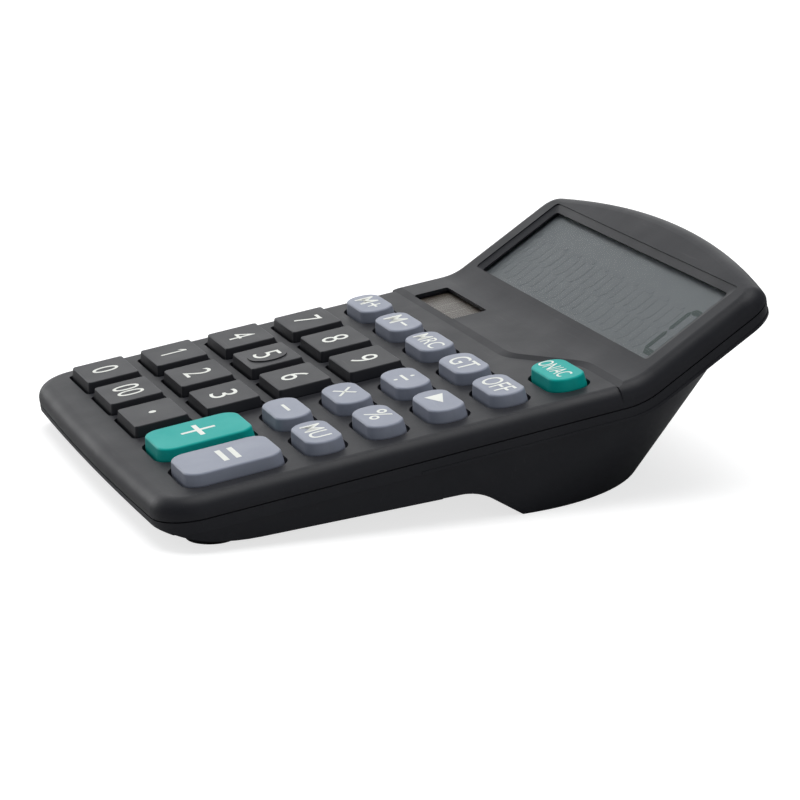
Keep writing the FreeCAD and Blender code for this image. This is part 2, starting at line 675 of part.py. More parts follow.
def lower_case():
    """Returns the lower case: band, base, stand block, battery bay and screw columns."""
    outside, hollow = lower_shell()
    shell = outside.cut(hollow)
    lip = case_layer(WALL - LIP_THICKNESS, SEAM_DROP - LIP_HEIGHT, SEAM_DROP + LIP_THICKNESS)
    lip = lip.cut(case_layer(WALL, ABOVE, SEAM_DROP + FAR / 4))
    columns = [cylinder(COLUMN_R, x, y, -FAR, -CASE_BOSS_END) for x, y in CASE_BOSSES]
    columns.append(bay_block(BAY_WALL, -FAR, BOARD_BOTTOM - BAY_TOP_GAP))
    for side in (-1, 1):
        socket = cylinder(FOOT_R + FOOT_WALL, side * FOOT_X, FOOT_PLACE, 0.0, FOOT_HEIGHT + FOOT_WALL)
        columns.append(on_ground(socket))
    inner_parts = [column.common(outside) for column in columns]
    shell = shell.fuse(inner_parts + [lip])
    seat = -CASE_BOSS_END - SCREW_SEAT
    cuts = [bay_block(0.0, -FAR, 0.0), door_pocket()]
    cuts += [cylinder(SCREW_HEAD_HOLE_R, x, y, -FAR, seat) for x, y in CASE_BOSSES]
    cuts += [cylinder(SCREW_HOLE_R, x, y, seat - 1.0, 0.0) for x, y in CASE_BOSSES]
    for side in (-1, 1):
        socket = cylinder(FOOT_R + FOOT_CLEARANCE, side * FOOT_X, FOOT_PLACE, -1.0, FOOT_HEIGHT)
        cuts.append(on_ground(socket))
    return shell.cut(cuts).removeSplitter()


def key_solid(name, x, y, kind):
    """Returns a hollow key cap with its retaining flange and plungers."""
    corner = kind.corner_r
    body = rounded_block(kind.width, kind.depth, corner, x, y, FLANGE_TOP, 0.0)
    low = rounded_rectangle(kind.width, kind.depth, corner, x, y, 0.0)
    top_width = kind.width - 2 * kind.taper
    top_depth = kind.depth - 2 * kind.taper
    high = rounded_rectangle(top_width, top_depth, corner, x, y, kind.rise)
    cap = Part.makeLoft([low, high], True, True)
    rim = [edge for edge in cap.Edges if edge.BoundBox.ZMin > kind.rise - 0.01]
    cap = cap.makeFillet(kind.top_r, rim)
    grow = 2 * (KEY_HOLE_CLEARANCE + KEY_FLANGE_OVERLAP)
    flange = rounded_block(
        kind.width + grow, kind.depth + grow, corner + grow / 2, x, y, FLANGE_BOTTOM, FLANGE_TOP)
    shrink = 2 * KEY_SHELL
    hollow_r = max(corner - KEY_SHELL, DIGIT_CORNER_R)
    hollow = rounded_block(
        kind.width - shrink, kind.depth - shrink, hollow_r, x, y, FLANGE_BOTTOM - 1.0, kind.rise - KEY_SHELL)
    posts = [cylinder(POST_R, x, y + dy, FLANGE_BOTTOM, kind.rise - KEY_SHELL / 2) for dy in kind.posts]
    key = body.fuse([cap, flange]).cut(hollow).fuse(posts)
    if name == "key_5":
        key = key.fuse(locator(x, y))
    return key.removeSplitter()


def locator(x, y):
    """Returns the low oval rise that the fingers find on the middle key."""
    low = DIGIT_RISE - KEY_SHELL / 2
    radius = LOCATOR_WIDTH / 2 - 0.05
    return rounded_block(LOCATOR_LENGTH, LOCATOR_WIDTH, radius, x, y, low, DIGIT_RISE + LOCATOR_RISE)


def key_mat():
    """Returns the rubber mat with a dome under each plunger."""
    keys = key_places()
    margin = KEY_HOLE_CLEARANCE + KEY_FLANGE_OVERLAP - MAT_MARGIN
    half = OUTER_COLUMN_X + DIGIT.width / 2 + margin
    low = min(y - kind.depth / 2 for name, x, y, kind in keys) - margin
    high = max(y + kind.depth / 2 for name, x, y, kind in keys) + margin
    mat = box(-half, half, low, high, BOARD_TOP, MAT_TOP)
    domes = []
    for name, x, y, kind in keys:
        for dy in kind.posts:
            domes.append(Part.makeCone(DOME_BASE_R, DOME_TOP_R, DOME_HEIGHT, Vector(x, y + dy, MAT_TOP)))
    return mat.fuse(domes).removeSplitter()


def main_board():
    """Returns the circuit board with its screw holes and boss notches."""
    half = HALF_WIDTH - WALL - BOARD_CLEARANCE
    loop = rounded_loop([
        (-half, BOARD_FRONT_Y, BOARD_CORNER_R), (half, BOARD_FRONT_Y, BOARD_CORNER_R),
        (half, BOARD_REAR_Y, 0), (-half, BOARD_REAR_Y, 0),
    ])
    loop.translate(Vector(0, 0, BOARD_BOTTOM))
    board = prism(loop, BOARD_THICKNESS)
    notch_r = BOSS_R + BOARD_HOLE_CLEARANCE
    cuts = [cylinder(notch_r, x, y, BOARD_BOTTOM - 1.0, 0.0) for x, y in CASE_BOSSES]
    cuts += [cylinder(SCREW_HOLE_R, x, y, BOARD_BOTTOM - 1.0, 0.0) for x, y in BOARD_BOSSES]
    return board.cut(cuts)


def screw(x, y, seat, tip):
    """Returns a pan-head screw driven up from its seat."""
    head = cylinder(SCREW_HEAD_R, x, y, seat - SCREW_HEAD_HEIGHT, seat)
    return head.fuse(cylinder(SCREW_SHANK_R, x, y, seat, tip)).removeSplitter()


def case_screws():
    """Returns the screws that hold the two cases together."""
    tip = -WALL - SCREW_TIP_GAP
    return Part.makeCompound([screw(x, y, -CASE_BOSS_END - SCREW_SEAT, tip) for x, y in CASE_BOSSES])


def board_screws():
    """Returns the screws that hold the board to the upper case."""
    tip = -WALL - SCREW_TIP_GAP
    return Part.makeCompound([screw(x, y, BOARD_BOTTOM, tip) for x, y in BOARD_BOSSES])


def chip_blob():
    """Returns the potted chip under the board."""
    sphere_r = (CHIP_R ** 2 + CHIP_HEIGHT ** 2) / (2 * CHIP_HEIGHT)
    ball = Part.makeSphere(sphere_r, Vector(CHIP_X, CHIP_Y, BOARD_BOTTOM - CHIP_HEIGHT + sphere_r))
    return ball.common(cylinder(2 * CHIP_R, CHIP_X, CHIP_Y, BOARD_BOTTOM - 2 * CHIP_HEIGHT, BOARD_BOTTOM))


def board_components():
    """Returns the row of small components under the board."""
    length, width, height = COMPONENT_SIZE
    row = []
    for i in range(COMPONENT_COUNT):
        y = COMPONENT_Y + COMPONENT_PITCH * i
        low = BOARD_BOTTOM - height
        row.append(box(COMPONENT_X, COMPONENT_X + length, y, y + width, low, BOARD_BOTTOM))
    return Part.makeCompound(row)


def display_window():
    """Returns the clear window in the bezel's rebate."""
    return on_head(prism(window_rectangle(LENS_MARGIN - LENS_CLEARANCE, -WALL), WALL - BEZEL_LIP))


def lcd_plate(start, low, thickness):
    """Returns a sheet of the display, as wide as the opening, from a start to its rear."""
    half = WINDOW_WIDTH / 2
    end = WINDOW_START + WINDOW_DEPTH
    return on_head(box(-half, half, start, end, low, low + thickness))


def lcd_front_glass():
    """Returns the display's front glass."""
    return lcd_plate(WINDOW_START - LENS_MARGIN, LCD_TOP - LCD_GLASS, LCD_GLASS)


def lcd_rear_glass():
    """Returns the display's rear glass with its contact ledge."""
    return lcd_plate(WINDOW_START - LENS_MARGIN - LCD_LEDGE, LCD_BOTTOM, LCD_GLASS)


def lcd_reflector():
    """Returns the reflector sheet behind the glass."""
    return lcd_plate(WINDOW_START, LCD_BOTTOM - LCD_REFLECTOR, LCD_REFLECTOR)


def lcd_holder():
    """Returns the tray that clamps the display, with its stake holes."""
    half = HALF_WIDTH - WALL - HOLDER_WALL_GAP
    loop = rounded_loop([
        (-half, HOLDER_START, 0), (half, HOLDER_START, 0),
        (half, HOLDER_END, HOLDER_CORNER_R), (-half, HOLDER_END, HOLDER_CORNER_R),
    ])
    loop.translate(Vector(0, 0, HOLDER_BOTTOM))
    tray = prism(loop, -WALL - HOLDER_BOTTOM)
    pocket = WINDOW_WIDTH / 2 + HOLDER_CLEARANCE
    cuts = [box(-pocket, pocket, -FAR, FAR, HOLDER_BOTTOM + HOLDER_FLOOR, 0.0)]
    for side, place in STAKES:
        cuts.append(cylinder(STAKE_R + STAKE_CLEARANCE, stake_x(side), place, -FAR, FAR))
    return on_head(tray.cut(cuts))


def lcd_ribbon():
    """Returns the flat ribbon from the rear glass's ledge to the board."""
    ledge_end = WINDOW_START - LENS_MARGIN - LCD_GAP
    ledge_start = WINDOW_START - LENS_MARGIN - LCD_LEDGE - RIBBON_BEND
    low = -LCD_TOP + LCD_GLASS
    high = low - RIBBON_THICKNESS
    foot_y = BOARD_REAR_Y
    top = BOARD_TOP + RIBBON_THICKNESS
    under = [head_point(ledge_start, low), head_point(ledge_end, low)]
    over = [head_point(ledge_end, high), head_point(ledge_start, high)]
    board = [(foot_y, top, 0), (foot_y - RIBBON_LAP, top, 0)]
    board += [(foot_y - RIBBON_LAP, BOARD_TOP, 0), (foot_y + RIBBON_THICKNESS, BOARD_TOP, 0)]
    return side_prism(under + over + board, RIBBON_WIDTH / 2)


def solar_plate(clearance, low, thickness):
    """Returns a plate that fits the solar rebate."""
    width = SOLAR_WIDTH + 2 * (SOLAR_MARGIN - clearance)
    depth = SOLAR_DEPTH + 2 * (SOLAR_MARGIN - clearance)
    return rounded_block(width, depth, SOLAR_CORNER_R, SOLAR_X, SOLAR_Y, low, low + thickness)


def solar_window():
    """Returns the clear window over the solar cell."""
    low = PANEL_RISE - SOLAR_LIP - SOLAR_WINDOW_THICKNESS
    return solar_plate(SOLAR_CLEARANCE, low, SOLAR_WINDOW_THICKNESS)


def solar_cell():
    """Returns the solar cell under its window."""
    top = PANEL_RISE - SOLAR_LIP - SOLAR_WINDOW_THICKNESS
    return solar_plate(SOLAR_CLEARANCE, -WALL, top + WALL)


def solar_leads():
    """Returns the two leads from the solar cell to the board."""
    xs = (SOLAR_X - LEAD_SPREAD, SOLAR_X + LEAD_SPREAD)
    return Part.makeCompound([cylinder(LEAD_R, x, DECK_LENGTH - LEAD_BACK, BOARD_TOP, -WALL) for x in xs])


def aa_cell():
    """Returns the AA cell, positive end to the right."""
    spot = Vector(-CELL_REACH, CELL_Y, -CELL_DROP)
    can = Part.makeCylinder(CELL_R, CELL_LENGTH, spot, Vector(1, 0, 0))
    nub_spot = spot + Vector(CELL_LENGTH, 0, 0)
    nub = Part.makeCylinder(CELL_NUB_R, CELL_NUB_LENGTH, nub_spot, Vector(1, 0, 0))
    return can.fuse(nub).removeSplitter()


def contact_plate(x):
    """Returns a contact plate that stands in the bay and meets the board."""
    half = CONTACT_WIDTH / 2
    low = -CELL_DROP - half
    plate = box(x, x + CONTACT_THICKNESS, CELL_Y - half, CELL_Y + half, low, BOARD_BOTTOM)
    return plate


def battery_plate():
    """Returns the positive contact."""
    return contact_plate(CELL_REACH)


def battery_spring():
    """Returns the negative contact with its bowed spring leaf."""
    x = -CELL_REACH - SPRING_LENGTH - CONTACT_THICKNESS
    leaf_loop = rounded_loop([
        (x, -SPRING_HALF_HEIGHT, 0),
        (-CELL_REACH, -CONTACT_THICKNESS, 0), (-CELL_REACH, CONTACT_THICKNESS, 0),
        (x, SPRING_HALF_HEIGHT, 0), (x, SPRING_HALF_HEIGHT - CONTACT_THICKNESS, 0),
        (-CELL_REACH - CONTACT_THICKNESS, 0, 0), (x, CONTACT_THICKNESS - SPRING_HALF_HEIGHT, 0),
    ])
    half = CONTACT_WIDTH / 4
    leaf = prism(leaf_loop, 2 * half)
    leaf.translate(Vector(0, CELL_Y, -CELL_DROP - half))
    return contact_plate(x).fuse(leaf).removeSplitter()


def battery_door():
    """Returns the battery door with its side tongues and finger grip."""
    high = DOOR_RECESS + DOOR_THICKNESS
    plate = box(-DOOR_HALF_WIDTH, DOOR_HALF_WIDTH, DOOR_START, DOOR_END, DOOR_RECESS, high)
    reach = DOOR_HALF_WIDTH + DOOR_TONGUE
    tongues = box(-reach, reach, DOOR_START, DOOR_END, high - DOOR_TONGUE_HEIGHT, high)
    grooves = []
    for i in range(GRIP_COUNT):
        y = DOOR_END - GRIP_END_GAP - GRIP_PITCH * i
        half = GRIP_LENGTH / 2
        grooves.append(box(-half, half, y - GRIP_WIDTH, y, DOOR_RECESS - 1.0, DOOR_RECESS + GRIP_DEPTH))
    return on_ground(plate.fuse(tongues).cut(grooves).removeSplitter())


def front_foot(side):
    """Returns a rubber foot that stands in its recess."""
    foot = cylinder(FOOT_R, side * FOOT_X, FOOT_PLACE, 0.0, FOOT_HEIGHT)
    rim = [edge for edge in foot.Edges if edge.BoundBox.ZMax < 0.01]
    return on_ground(foot.makeFillet(FOOT_EDGE_R, rim))


def build():
    """Returns every piece by its name, in the deck's frame."""
    pieces = {
        "upper_case": upper_case(),
        "lower_case": lower_case(),
        "display_window": display_window(),
        "lcd_front_glass": lcd_front_glass(),
        "lcd_rear_glass": lcd_rear_glass(),
        "lcd_reflector": lcd_reflector(),
        "lcd_holder": lcd_holder(),
        "lcd_ribbon": lcd_ribbon(),
        "solar_window": solar_window(),
        "solar_cell": solar_cell(),
        "solar_leads": solar_leads(),
        "key_mat": key_mat(),
        "main_board": main_board(),
        "chip_blob": chip_blob(),
        "board_components": board_components(),
        "board_screws": board_screws(),
        "case_screws": case_screws(),
        "aa_cell": aa_cell(),
        "battery_plate": battery_plate(),
        "battery_spring": battery_spring(),
        "battery_door": battery_door(),
        "foot_left": front_foot(-1),
        "foot_right": front_foot(1),
    }
    for name, x, y, kind in key_places():
        pieces[name] = key_solid(name, x, y, kind)
    return pieces


def stand(pieces):
    """Tilts the pieces onto the surface and centres their footprint on the origin."""
    for shape in pieces.values():
        shape.rotate(Vector(0, 0, 0), Vector(1, 0, 0), DECK_TILT)
    bounds = [shape.optimalBoundingBox(False, False) for shape in pieces.values()]
    middle = (min(b.YMin for b in bounds) + max(b.YMax for b in bounds)) / 2
    for shape in pieces.values():
        shape.translate(Vector(0, -middle, GROUND_DROP * math.cos(GROUND)))
    print("deck origin moved by", -middle, GROUND_DROP * math.cos(GROUND))


def main():
    """Builds the pieces and writes one file for each."""
    pieces = build()
    stand(pieces)
    os.makedirs("parts", exist_ok=True)
    for name, shape in pieces.items():
        print(name, len(shape.Solids), round(shape.Volume, 1), shape.isValid())
        shape.exportStep("parts/" + name + ".step")


main()
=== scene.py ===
"""Dresses the desk calculator in Blender: finishes, key markings, display figures and a studio.

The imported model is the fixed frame, and every place is worked out from its nodes. Sizes of markings
and figures are in millimetres, and those of the studio in metres.
"""

from __future__ import annotations

import json
import logging
import math
from dataclasses import dataclass, field
from enum import Enum

import bmesh
import bpy
from mathutils import Matrix, Vector

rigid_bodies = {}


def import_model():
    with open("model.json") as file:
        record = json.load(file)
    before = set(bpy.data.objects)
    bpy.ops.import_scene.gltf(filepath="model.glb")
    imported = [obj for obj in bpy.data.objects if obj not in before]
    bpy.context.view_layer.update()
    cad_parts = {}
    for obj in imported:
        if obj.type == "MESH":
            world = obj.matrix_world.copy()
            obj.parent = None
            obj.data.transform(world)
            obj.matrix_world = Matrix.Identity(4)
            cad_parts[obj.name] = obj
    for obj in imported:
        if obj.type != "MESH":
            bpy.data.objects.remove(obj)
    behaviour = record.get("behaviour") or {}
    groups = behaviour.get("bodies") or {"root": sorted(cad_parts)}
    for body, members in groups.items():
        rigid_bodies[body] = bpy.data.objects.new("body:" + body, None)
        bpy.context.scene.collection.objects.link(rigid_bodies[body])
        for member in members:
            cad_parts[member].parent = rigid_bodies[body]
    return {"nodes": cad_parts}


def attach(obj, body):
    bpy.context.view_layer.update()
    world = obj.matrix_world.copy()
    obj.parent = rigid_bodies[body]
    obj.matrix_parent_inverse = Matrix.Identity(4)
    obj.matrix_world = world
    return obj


for start_object in list(bpy.data.objects):
    bpy.data.objects.remove(start_object)
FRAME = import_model()

LOG = logging.getLogger("desk_calculator")
MM = 0.001
DOT_CORNERS = 28
DIVIDE_DOT_SHARE = 0.75
TYPE_CURVE_STEPS = 6
SENSOR_WIDTH = 36.0
WHITE = (1.0, 1.0, 1.0, 1.0)

Colour = tuple[float, float, float]
Triple = tuple[float, float, float]
Point = tuple[float, float]
Outline = list[Point]
Socket = bpy.types.NodeSocket


def opposite_corners(points: list[Vector]) -> tuple[Vector, Vector]:
    """Finds the box round some points.

    Args:
        points: The points.

    Returns:
        The box's lowest and highest corner.
    """
    low = Vector([min(point[axis] for point in points) for axis in range(3)])
    high = Vector([max(point[axis] for point in points) for axis in range(3)])
    return low, high


@dataclass(frozen=True)
class TiltedPlane:
    """A plane turned about the X axis, in which the deck or the head lies flat.

    Attributes:
        degrees: The plane's slope, up towards the rear.
    """

    degrees: float

    def turn(self) -> Matrix:
        """Returns the turn from the plane's own axes to the frame's."""
        return Matrix.Rotation(math.radians(self.degrees), 4, "X")

    def extent(self, node: str) -> tuple[Vector, Vector]:
        """Measures a CAD node along the plane's own axes.

        Args:
            node: The CAD node's name.

        Returns:
            The lowest and the highest corner, in metres.
        """
        flatten = self.turn().inverted().to_3x3()
        return opposite_corners([flatten @ vertex.co for vertex in FRAME["nodes"][node].data.vertices])

    def place(self, x: float, y: float, z: float) -> Matrix:
        """Returns the place of a flat piece whose origin is at a point of the plane's own axes."""
        return self.turn() @ Matrix.Translation((x, y, z))


DECK = TiltedPlane(8.6)
HEAD = TiltedPlane(33.2)
TABLE = TiltedPlane(0.0)


class NodeSheet:
    """A node tree with short calls to add nodes and join them.

    Attributes:
        mix_inputs: The numbers of a Mix node's two colour inputs.
        mix_output: The number of its colour output.
    """

    mix_inputs: tuple[int, int] = (6, 7)
    mix_output: int = 2

    def __init__(self, tree: bpy.types.NodeTree) -> None:
        """Keeps the tree that the calls work on."""
        self.tree = tree

    def add(self, kind: str, values: dict[str, object] | None = None, **settings: object) -> bpy.types.Node:
        """Adds a node.

        Args:
            kind: The node's type name.
            values: Plain values of its input sockets, by name.
            settings: Values of the node's own properties.

        Returns:
            The new node.
        """
        node = self.tree.nodes.new(kind)
        for name, value in settings.items():
            setattr(node, name, value)
        for socket, value in (values or {}).items():
            node.inputs[socket].default_value = value
        return node

    def join(self, source: Socket, target: Socket) -> None:
        """Links an output socket to an input socket."""
        self.tree.links.new(source, target)

    def math(self, operation: str, first: Socket, second: Socket | float) -> Socket:
        """Adds a Math node.

        Args:
            operation: The Math node's operation.
            first: The socket that feeds its first input.
            second: A socket or a number for its second input.

        Returns:
            The result's socket.
        """
        node = self.add("ShaderNodeMath", operation=operation)
        self.join(first, node.inputs[0])
        if isinstance(second, Socket):
            self.join(second, node.inputs[1])
        else:
            node.inputs[1].default_value = second
        return node.outputs[0]

    def ramp(self, source: Socket, start: Point, end: Point) -> Socket:
        """Adds a Map Range node.

        Args:
            source: The socket with the value to map.
            start: The value at the range's start and what it becomes.
            end: The value at the range's end and what it becomes.

        Returns:
            The result's socket.
        """
        values = {"From Min": start[0], "From Max": end[0], "To Min": start[1], "To Max": end[1]}
        node = self.add("ShaderNodeMapRange", values)
        self.join(source, node.inputs["Value"])
        return node.outputs["Result"]

    def blend(self, mask: Socket, under: Socket | Colour, over: Socket | Colour) -> Socket:
        """Adds a colour Mix node.

        Args:
            mask: The socket with the share of the upper colour.
            under: The lower colour, as a socket or a plain colour.
            over: The upper colour, as a socket or a plain colour.

        Returns:
            The mixed colour's socket.
        """
        node = self.add("ShaderNodeMix", data_type="RGBA")
        self.join(mask, node.inputs[0])
        for number, colour in zip(self.mix_inputs, (under, over)):
            if isinstance(colour, Socket):
                self.join(colour, node.inputs[number])
            else:
                node.inputs[number].default_value = (*colour, 1.0)
        return node.outputs[self.mix_output]

    def choose(self, mask: Socket, usual: Socket, other: Socket) -> Socket:
        """Adds a Mix Shader node.

        Args:
            mask: The socket with the share of the second shader.
            usual: The first shader's socket.
            other: The second shader's socket.

        Returns:
            The mixed shader's socket.
        """
        node = self.add("ShaderNodeMixShader")
        for source, target in zip((mask, usual, other), node.inputs):
            self.join(source, target)
        return node.outputs[0]


class EffectLibrary:
    """The shader node groups that several finishes share, each built once.

    A range is two points: where a pattern's value starts and ends, and the share that it becomes there.

    Attributes:
        pit_scale: The pits' scale, as a share of the grain's.
        pit_share: The pits' height, as a share of the grain's.
        tone_scale: The scale of the uneven tone, as a share of the grain's.
        tone_range: The range of the uneven tone.
        patch_range: The range of the worn patches.
        hair_turn: The turn of the hairlines about each axis, in radians.
        hair_stretch: How much finer the hairlines are along each axis.
        hair_scale: The hairlines' scale, as a share of the patches'.
        hair_range: The range of the hairlines.
        film_scale: The size of the dust film's clouds, as features per metre.
        film_range: The range of the dust film.
        speck_scale: The specks' number per metre.
        speck_range: The range from a speck's middle to its edge.
        upward_range: The range from a steep face to one that looks straight up.
    """

    pit_scale: float = 0.6
    pit_share: float = 0.7
    tone_scale: float = 0.03
    tone_range: tuple[Point, Point] = ((0.3, 0.0), (0.7, 1.0))
    patch_range: tuple[Point, Point] = ((0.52, 0.0), (0.75, 0.6))
    hair_turn: Triple = (0.0, 0.0, 0.6)
    hair_stretch: Triple = (1.0, 22.0, 6.0)
    hair_scale: float = 1.5
    hair_range: tuple[Point, Point] = ((0.66, 0.0), (0.74, 1.0))
    film_scale: float = 140.0
    film_range: tuple[Point, Point] = ((0.35, 0.0), (0.7, 0.4))
    speck_scale: float = 420.0
    speck_range: tuple[Point, Point] = ((0.05, 1.0), (0.09, 0.0))
    upward_range: tuple[Point, Point] = ((0.2, 0.0), (1.0, 1.0))

    def __init__(self) -> None:
        """Builds the groups."""
        self.grain = self._build_grain()
        self.wear = self._build_wear()
        self.dust = self._build_dust()

    @staticmethod
    def _start(
        name: str, inputs: tuple[str, ...], outputs: tuple[str, ...],
    ) -> tuple[NodeSheet, dict[str, Socket], dict[str, Socket]]:
        """Starts a node group that takes a position and some numbers.

        Args:
            name: The group's name.
            inputs: Names of its number inputs.
            outputs: Names of its number outputs.

        Returns:
            The group's sheet, its input sockets and its output sockets, by name.
        """
        tree = bpy.data.node_groups.new(name, "ShaderNodeTree")
        tree.interface.new_socket("Position", in_out="INPUT", socket_type="NodeSocketVector")
        for socket in inputs:
            tree.interface.new_socket(socket, in_out="INPUT", socket_type="NodeSocketFloat")
        for socket in outputs:
            tree.interface.new_socket(socket, in_out="OUTPUT", socket_type="NodeSocketFloat")
        sheet = NodeSheet(tree)
        start = sheet.add("NodeGroupInput")
        end = sheet.add("NodeGroupOutput")
        return sheet, {s.name: s for s in start.outputs}, {s.name: s for s in end.inputs}

    def _build_grain(self) -> bpy.types.NodeTree:
        """Builds the grain of a moulded or cast surface: its height and a broad unevenness of tone."""
        sheet, given, made = self._start("moulded_grain", ("Scale",), ("Height", "Tone"))
        fine = sheet.add("ShaderNodeTexNoise", {"Detail": 3.0, "Roughness": 0.6})
        pits = sheet.add("ShaderNodeTexVoronoi", feature="SMOOTH_F1")
        broad = sheet.add("ShaderNodeTexNoise", {"Detail": 4.0, "Roughness": 0.55})
        for node in (fine, pits, broad):
            sheet.join(given["Position"], node.inputs["Vector"])
        sheet.join(given["Scale"], fine.inputs["Scale"])
        sheet.join(sheet.math("MULTIPLY", given["Scale"], self.pit_scale), pits.inputs["Scale"])
        sheet.join(sheet.math("MULTIPLY", given["Scale"], self.tone_scale), broad.inputs["Scale"])
        pitted = sheet.math("MULTIPLY", pits.outputs["Distance"], self.pit_share)
        sheet.join(sheet.math("ADD", fine.outputs[0], pitted), made["Height"])
        sheet.join(sheet.ramp(broad.outputs[0], *self.tone_range), made["Tone"])
        return sheet.tree

    def _build_wear(self) -> bpy.types.NodeTree:
        """Builds patches polished or scuffed by handling, crossed by fine hairlines."""
        sheet, given, made = self._start("handling_wear", ("Scale", "Amount"), ("Mask",))
        patch = sheet.add("ShaderNodeTexNoise", {"Detail": 5.0, "Roughness": 0.65})
        stretch = sheet.add("ShaderNodeMapping", {"Rotation": self.hair_turn, "Scale": self.hair_stretch})
        hair = sheet.add("ShaderNodeTexNoise", {"Detail": 2.0, "Distortion": 0.6})
        sheet.join(given["Position"], patch.inputs["Vector"])
        sheet.join(given["Position"], stretch.inputs["Vector"])
        sheet.join(stretch.outputs["Vector"], hair.inputs["Vector"])
        sheet.join(given["Scale"], patch.inputs["Scale"])
        sheet.join(sheet.math("MULTIPLY", given["Scale"], self.hair_scale), hair.inputs["Scale"])
        patches = sheet.ramp(patch.outputs[0], *self.patch_range)
        hairs = sheet.ramp(hair.outputs[0], *self.hair_range)
        both = sheet.math("ADD", patches, hairs)
        sheet.join(sheet.math("MULTIPLY", both, given["Amount"]), made["Mask"])
        return sheet.tree

    def _build_dust(self) -> bpy.types.NodeTree:
        """Builds a thin film and a few specks of dust on faces that look up."""
        sheet, given, made = self._start("settled_dust", ("Amount",), ("Mask",))
        surface = sheet.add("ShaderNodeNewGeometry")
        parts = sheet.add("ShaderNodeSeparateXYZ")
        film = sheet.add("ShaderNodeTexNoise", {"Scale": self.film_scale, "Detail": 4.0})
        specks = sheet.add("ShaderNodeTexVoronoi", {"Scale": self.speck_scale})
        sheet.join(surface.outputs["Normal"], parts.inputs[0])
        sheet.join(given["Position"], film.inputs["Vector"])
        sheet.join(given["Position"], specks.inputs["Vector"])
        facing_up = sheet.ramp(parts.outputs["Z"], *self.upward_range)
        thin = sheet.ramp(film.outputs[0], *self.film_range)
        dots = sheet.ramp(specks.outputs["Distance"], *self.speck_range)
        both = sheet.math("MULTIPLY", sheet.math("ADD", thin, dots), facing_up)
        sheet.join(sheet.math("MULTIPLY", both, given["Amount"]), made["Mask"])
        return sheet.tree


class MaterialSheet(NodeSheet):
    """The node tree of a new material, with its main shader and its place socket."""

    def __init__(self, name: str) -> None:
        """Starts a material.

        Args:
            name: The material's name.
        """
        self.material = bpy.data.materials.new(name)
        self.material.use_nodes = True
        super().__init__(self.material.node_tree)
        self.shader = self.tree.nodes["Principled BSDF"]
        self.where = self.add("ShaderNodeTexCoord").outputs["Object"]

    def effect(self, group: bpy.types.NodeTree, **amounts: float) -> bpy.types.Node:
        """Adds a shared effect.

        Args:
            group: The effect's node group.
            amounts: Values of its number inputs.

        Returns:
            The new group node.
        """
        node = self.add("ShaderNodeGroup", node_tree=group)
        self.join(self.where, node.inputs["Position"])
        for socket, value in amounts.items():
            node.inputs[socket].default_value = value
        return node

    def drift(self, tone: Socket, ends: Point) -> Socket:
        """Maps the grain's tone to a value that drifts between two ends."""
        return self.ramp(tone, (0.0, ends[0]), (1.0, ends[1]))


@dataclass(frozen=True)
class SolidFinish:
    """An opaque finish with grain, handling wear and dust.

    Attributes:
        colour: The main colour, linear.
        shade: The colour that the tone drifts towards.
        roughness: The roughness at the tone's two ends.
        specular: The specular level.
        metallic: 1 for bare metal.
        grain_scale: The grain's size, as features per metre.
        grain_depth: The grain's height in millimetres.
        wear: The share of worn colour in worn patches.
        wear_colour: The colour of worn patches.
        wear_scale: The worn patches' size, as features per metre.
        polish: How much smoother worn patches are.
        dust: The share of dust on faces that look up.
        dust_colour: The colour of the dust.
        coat: The weight of a clear coat.
        coat_roughness: The roughness of the clear coat.
    """

    colour: Colour
    shade: Colour
    roughness: Point
    specular: float = 0.5
    metallic: float = 0.0
    grain_scale: float = 2600.0
    grain_depth: float = 0.01
    wear: float = 0.1
    wear_colour: Colour = (0.06, 0.06, 0.062)
    wear_scale: float = 60.0
    polish: float = 0.25
    dust: float = 0.02
    dust_colour: Colour = (0.5, 0.49, 0.47)
    coat: float = 0.0
    coat_roughness: float = 0.12

    def material(self, name: str, effects: EffectLibrary) -> bpy.types.Material:
        """Builds the finish as a node material.

        Args:
            name: The material's name.
            effects: The shared effect groups.

        Returns:
            The new material.
        """
        sheet = MaterialSheet(name)
        shader = sheet.shader
        shader.inputs["Specular IOR Level"].default_value = self.specular
        shader.inputs["Metallic"].default_value = self.metallic
        shader.inputs["Coat Weight"].default_value = self.coat
        shader.inputs["Coat Roughness"].default_value = self.coat_roughness
        grain = sheet.effect(effects.grain, Scale=self.grain_scale)
        wear = sheet.effect(effects.wear, Scale=self.wear_scale, Amount=self.wear)
        dust = sheet.effect(effects.dust, Amount=self.dust)
        toned = sheet.blend(grain.outputs["Tone"], self.colour, self.shade)
        worn = sheet.blend(wear.outputs["Mask"], toned, self.wear_colour)
        dusty = sheet.blend(dust.outputs["Mask"], worn, self.dust_colour)
        sheet.join(dusty, shader.inputs["Base Color"])
        drift = sheet.drift(grain.outputs["Tone"], self.roughness)
        polish = sheet.math("MULTIPLY", wear.outputs["Mask"], -self.polish)
        sheet.join(sheet.math("ADD", drift, polish), shader.inputs["Roughness"])
        bump = sheet.add("ShaderNodeBump", {"Strength": 1.0, "Distance": self.grain_depth * MM})
        sheet.join(grain.outputs["Height"], bump.inputs["Height"])
        sheet.join(bump.outputs["Normal"], shader.inputs["Normal"])
        return sheet.material


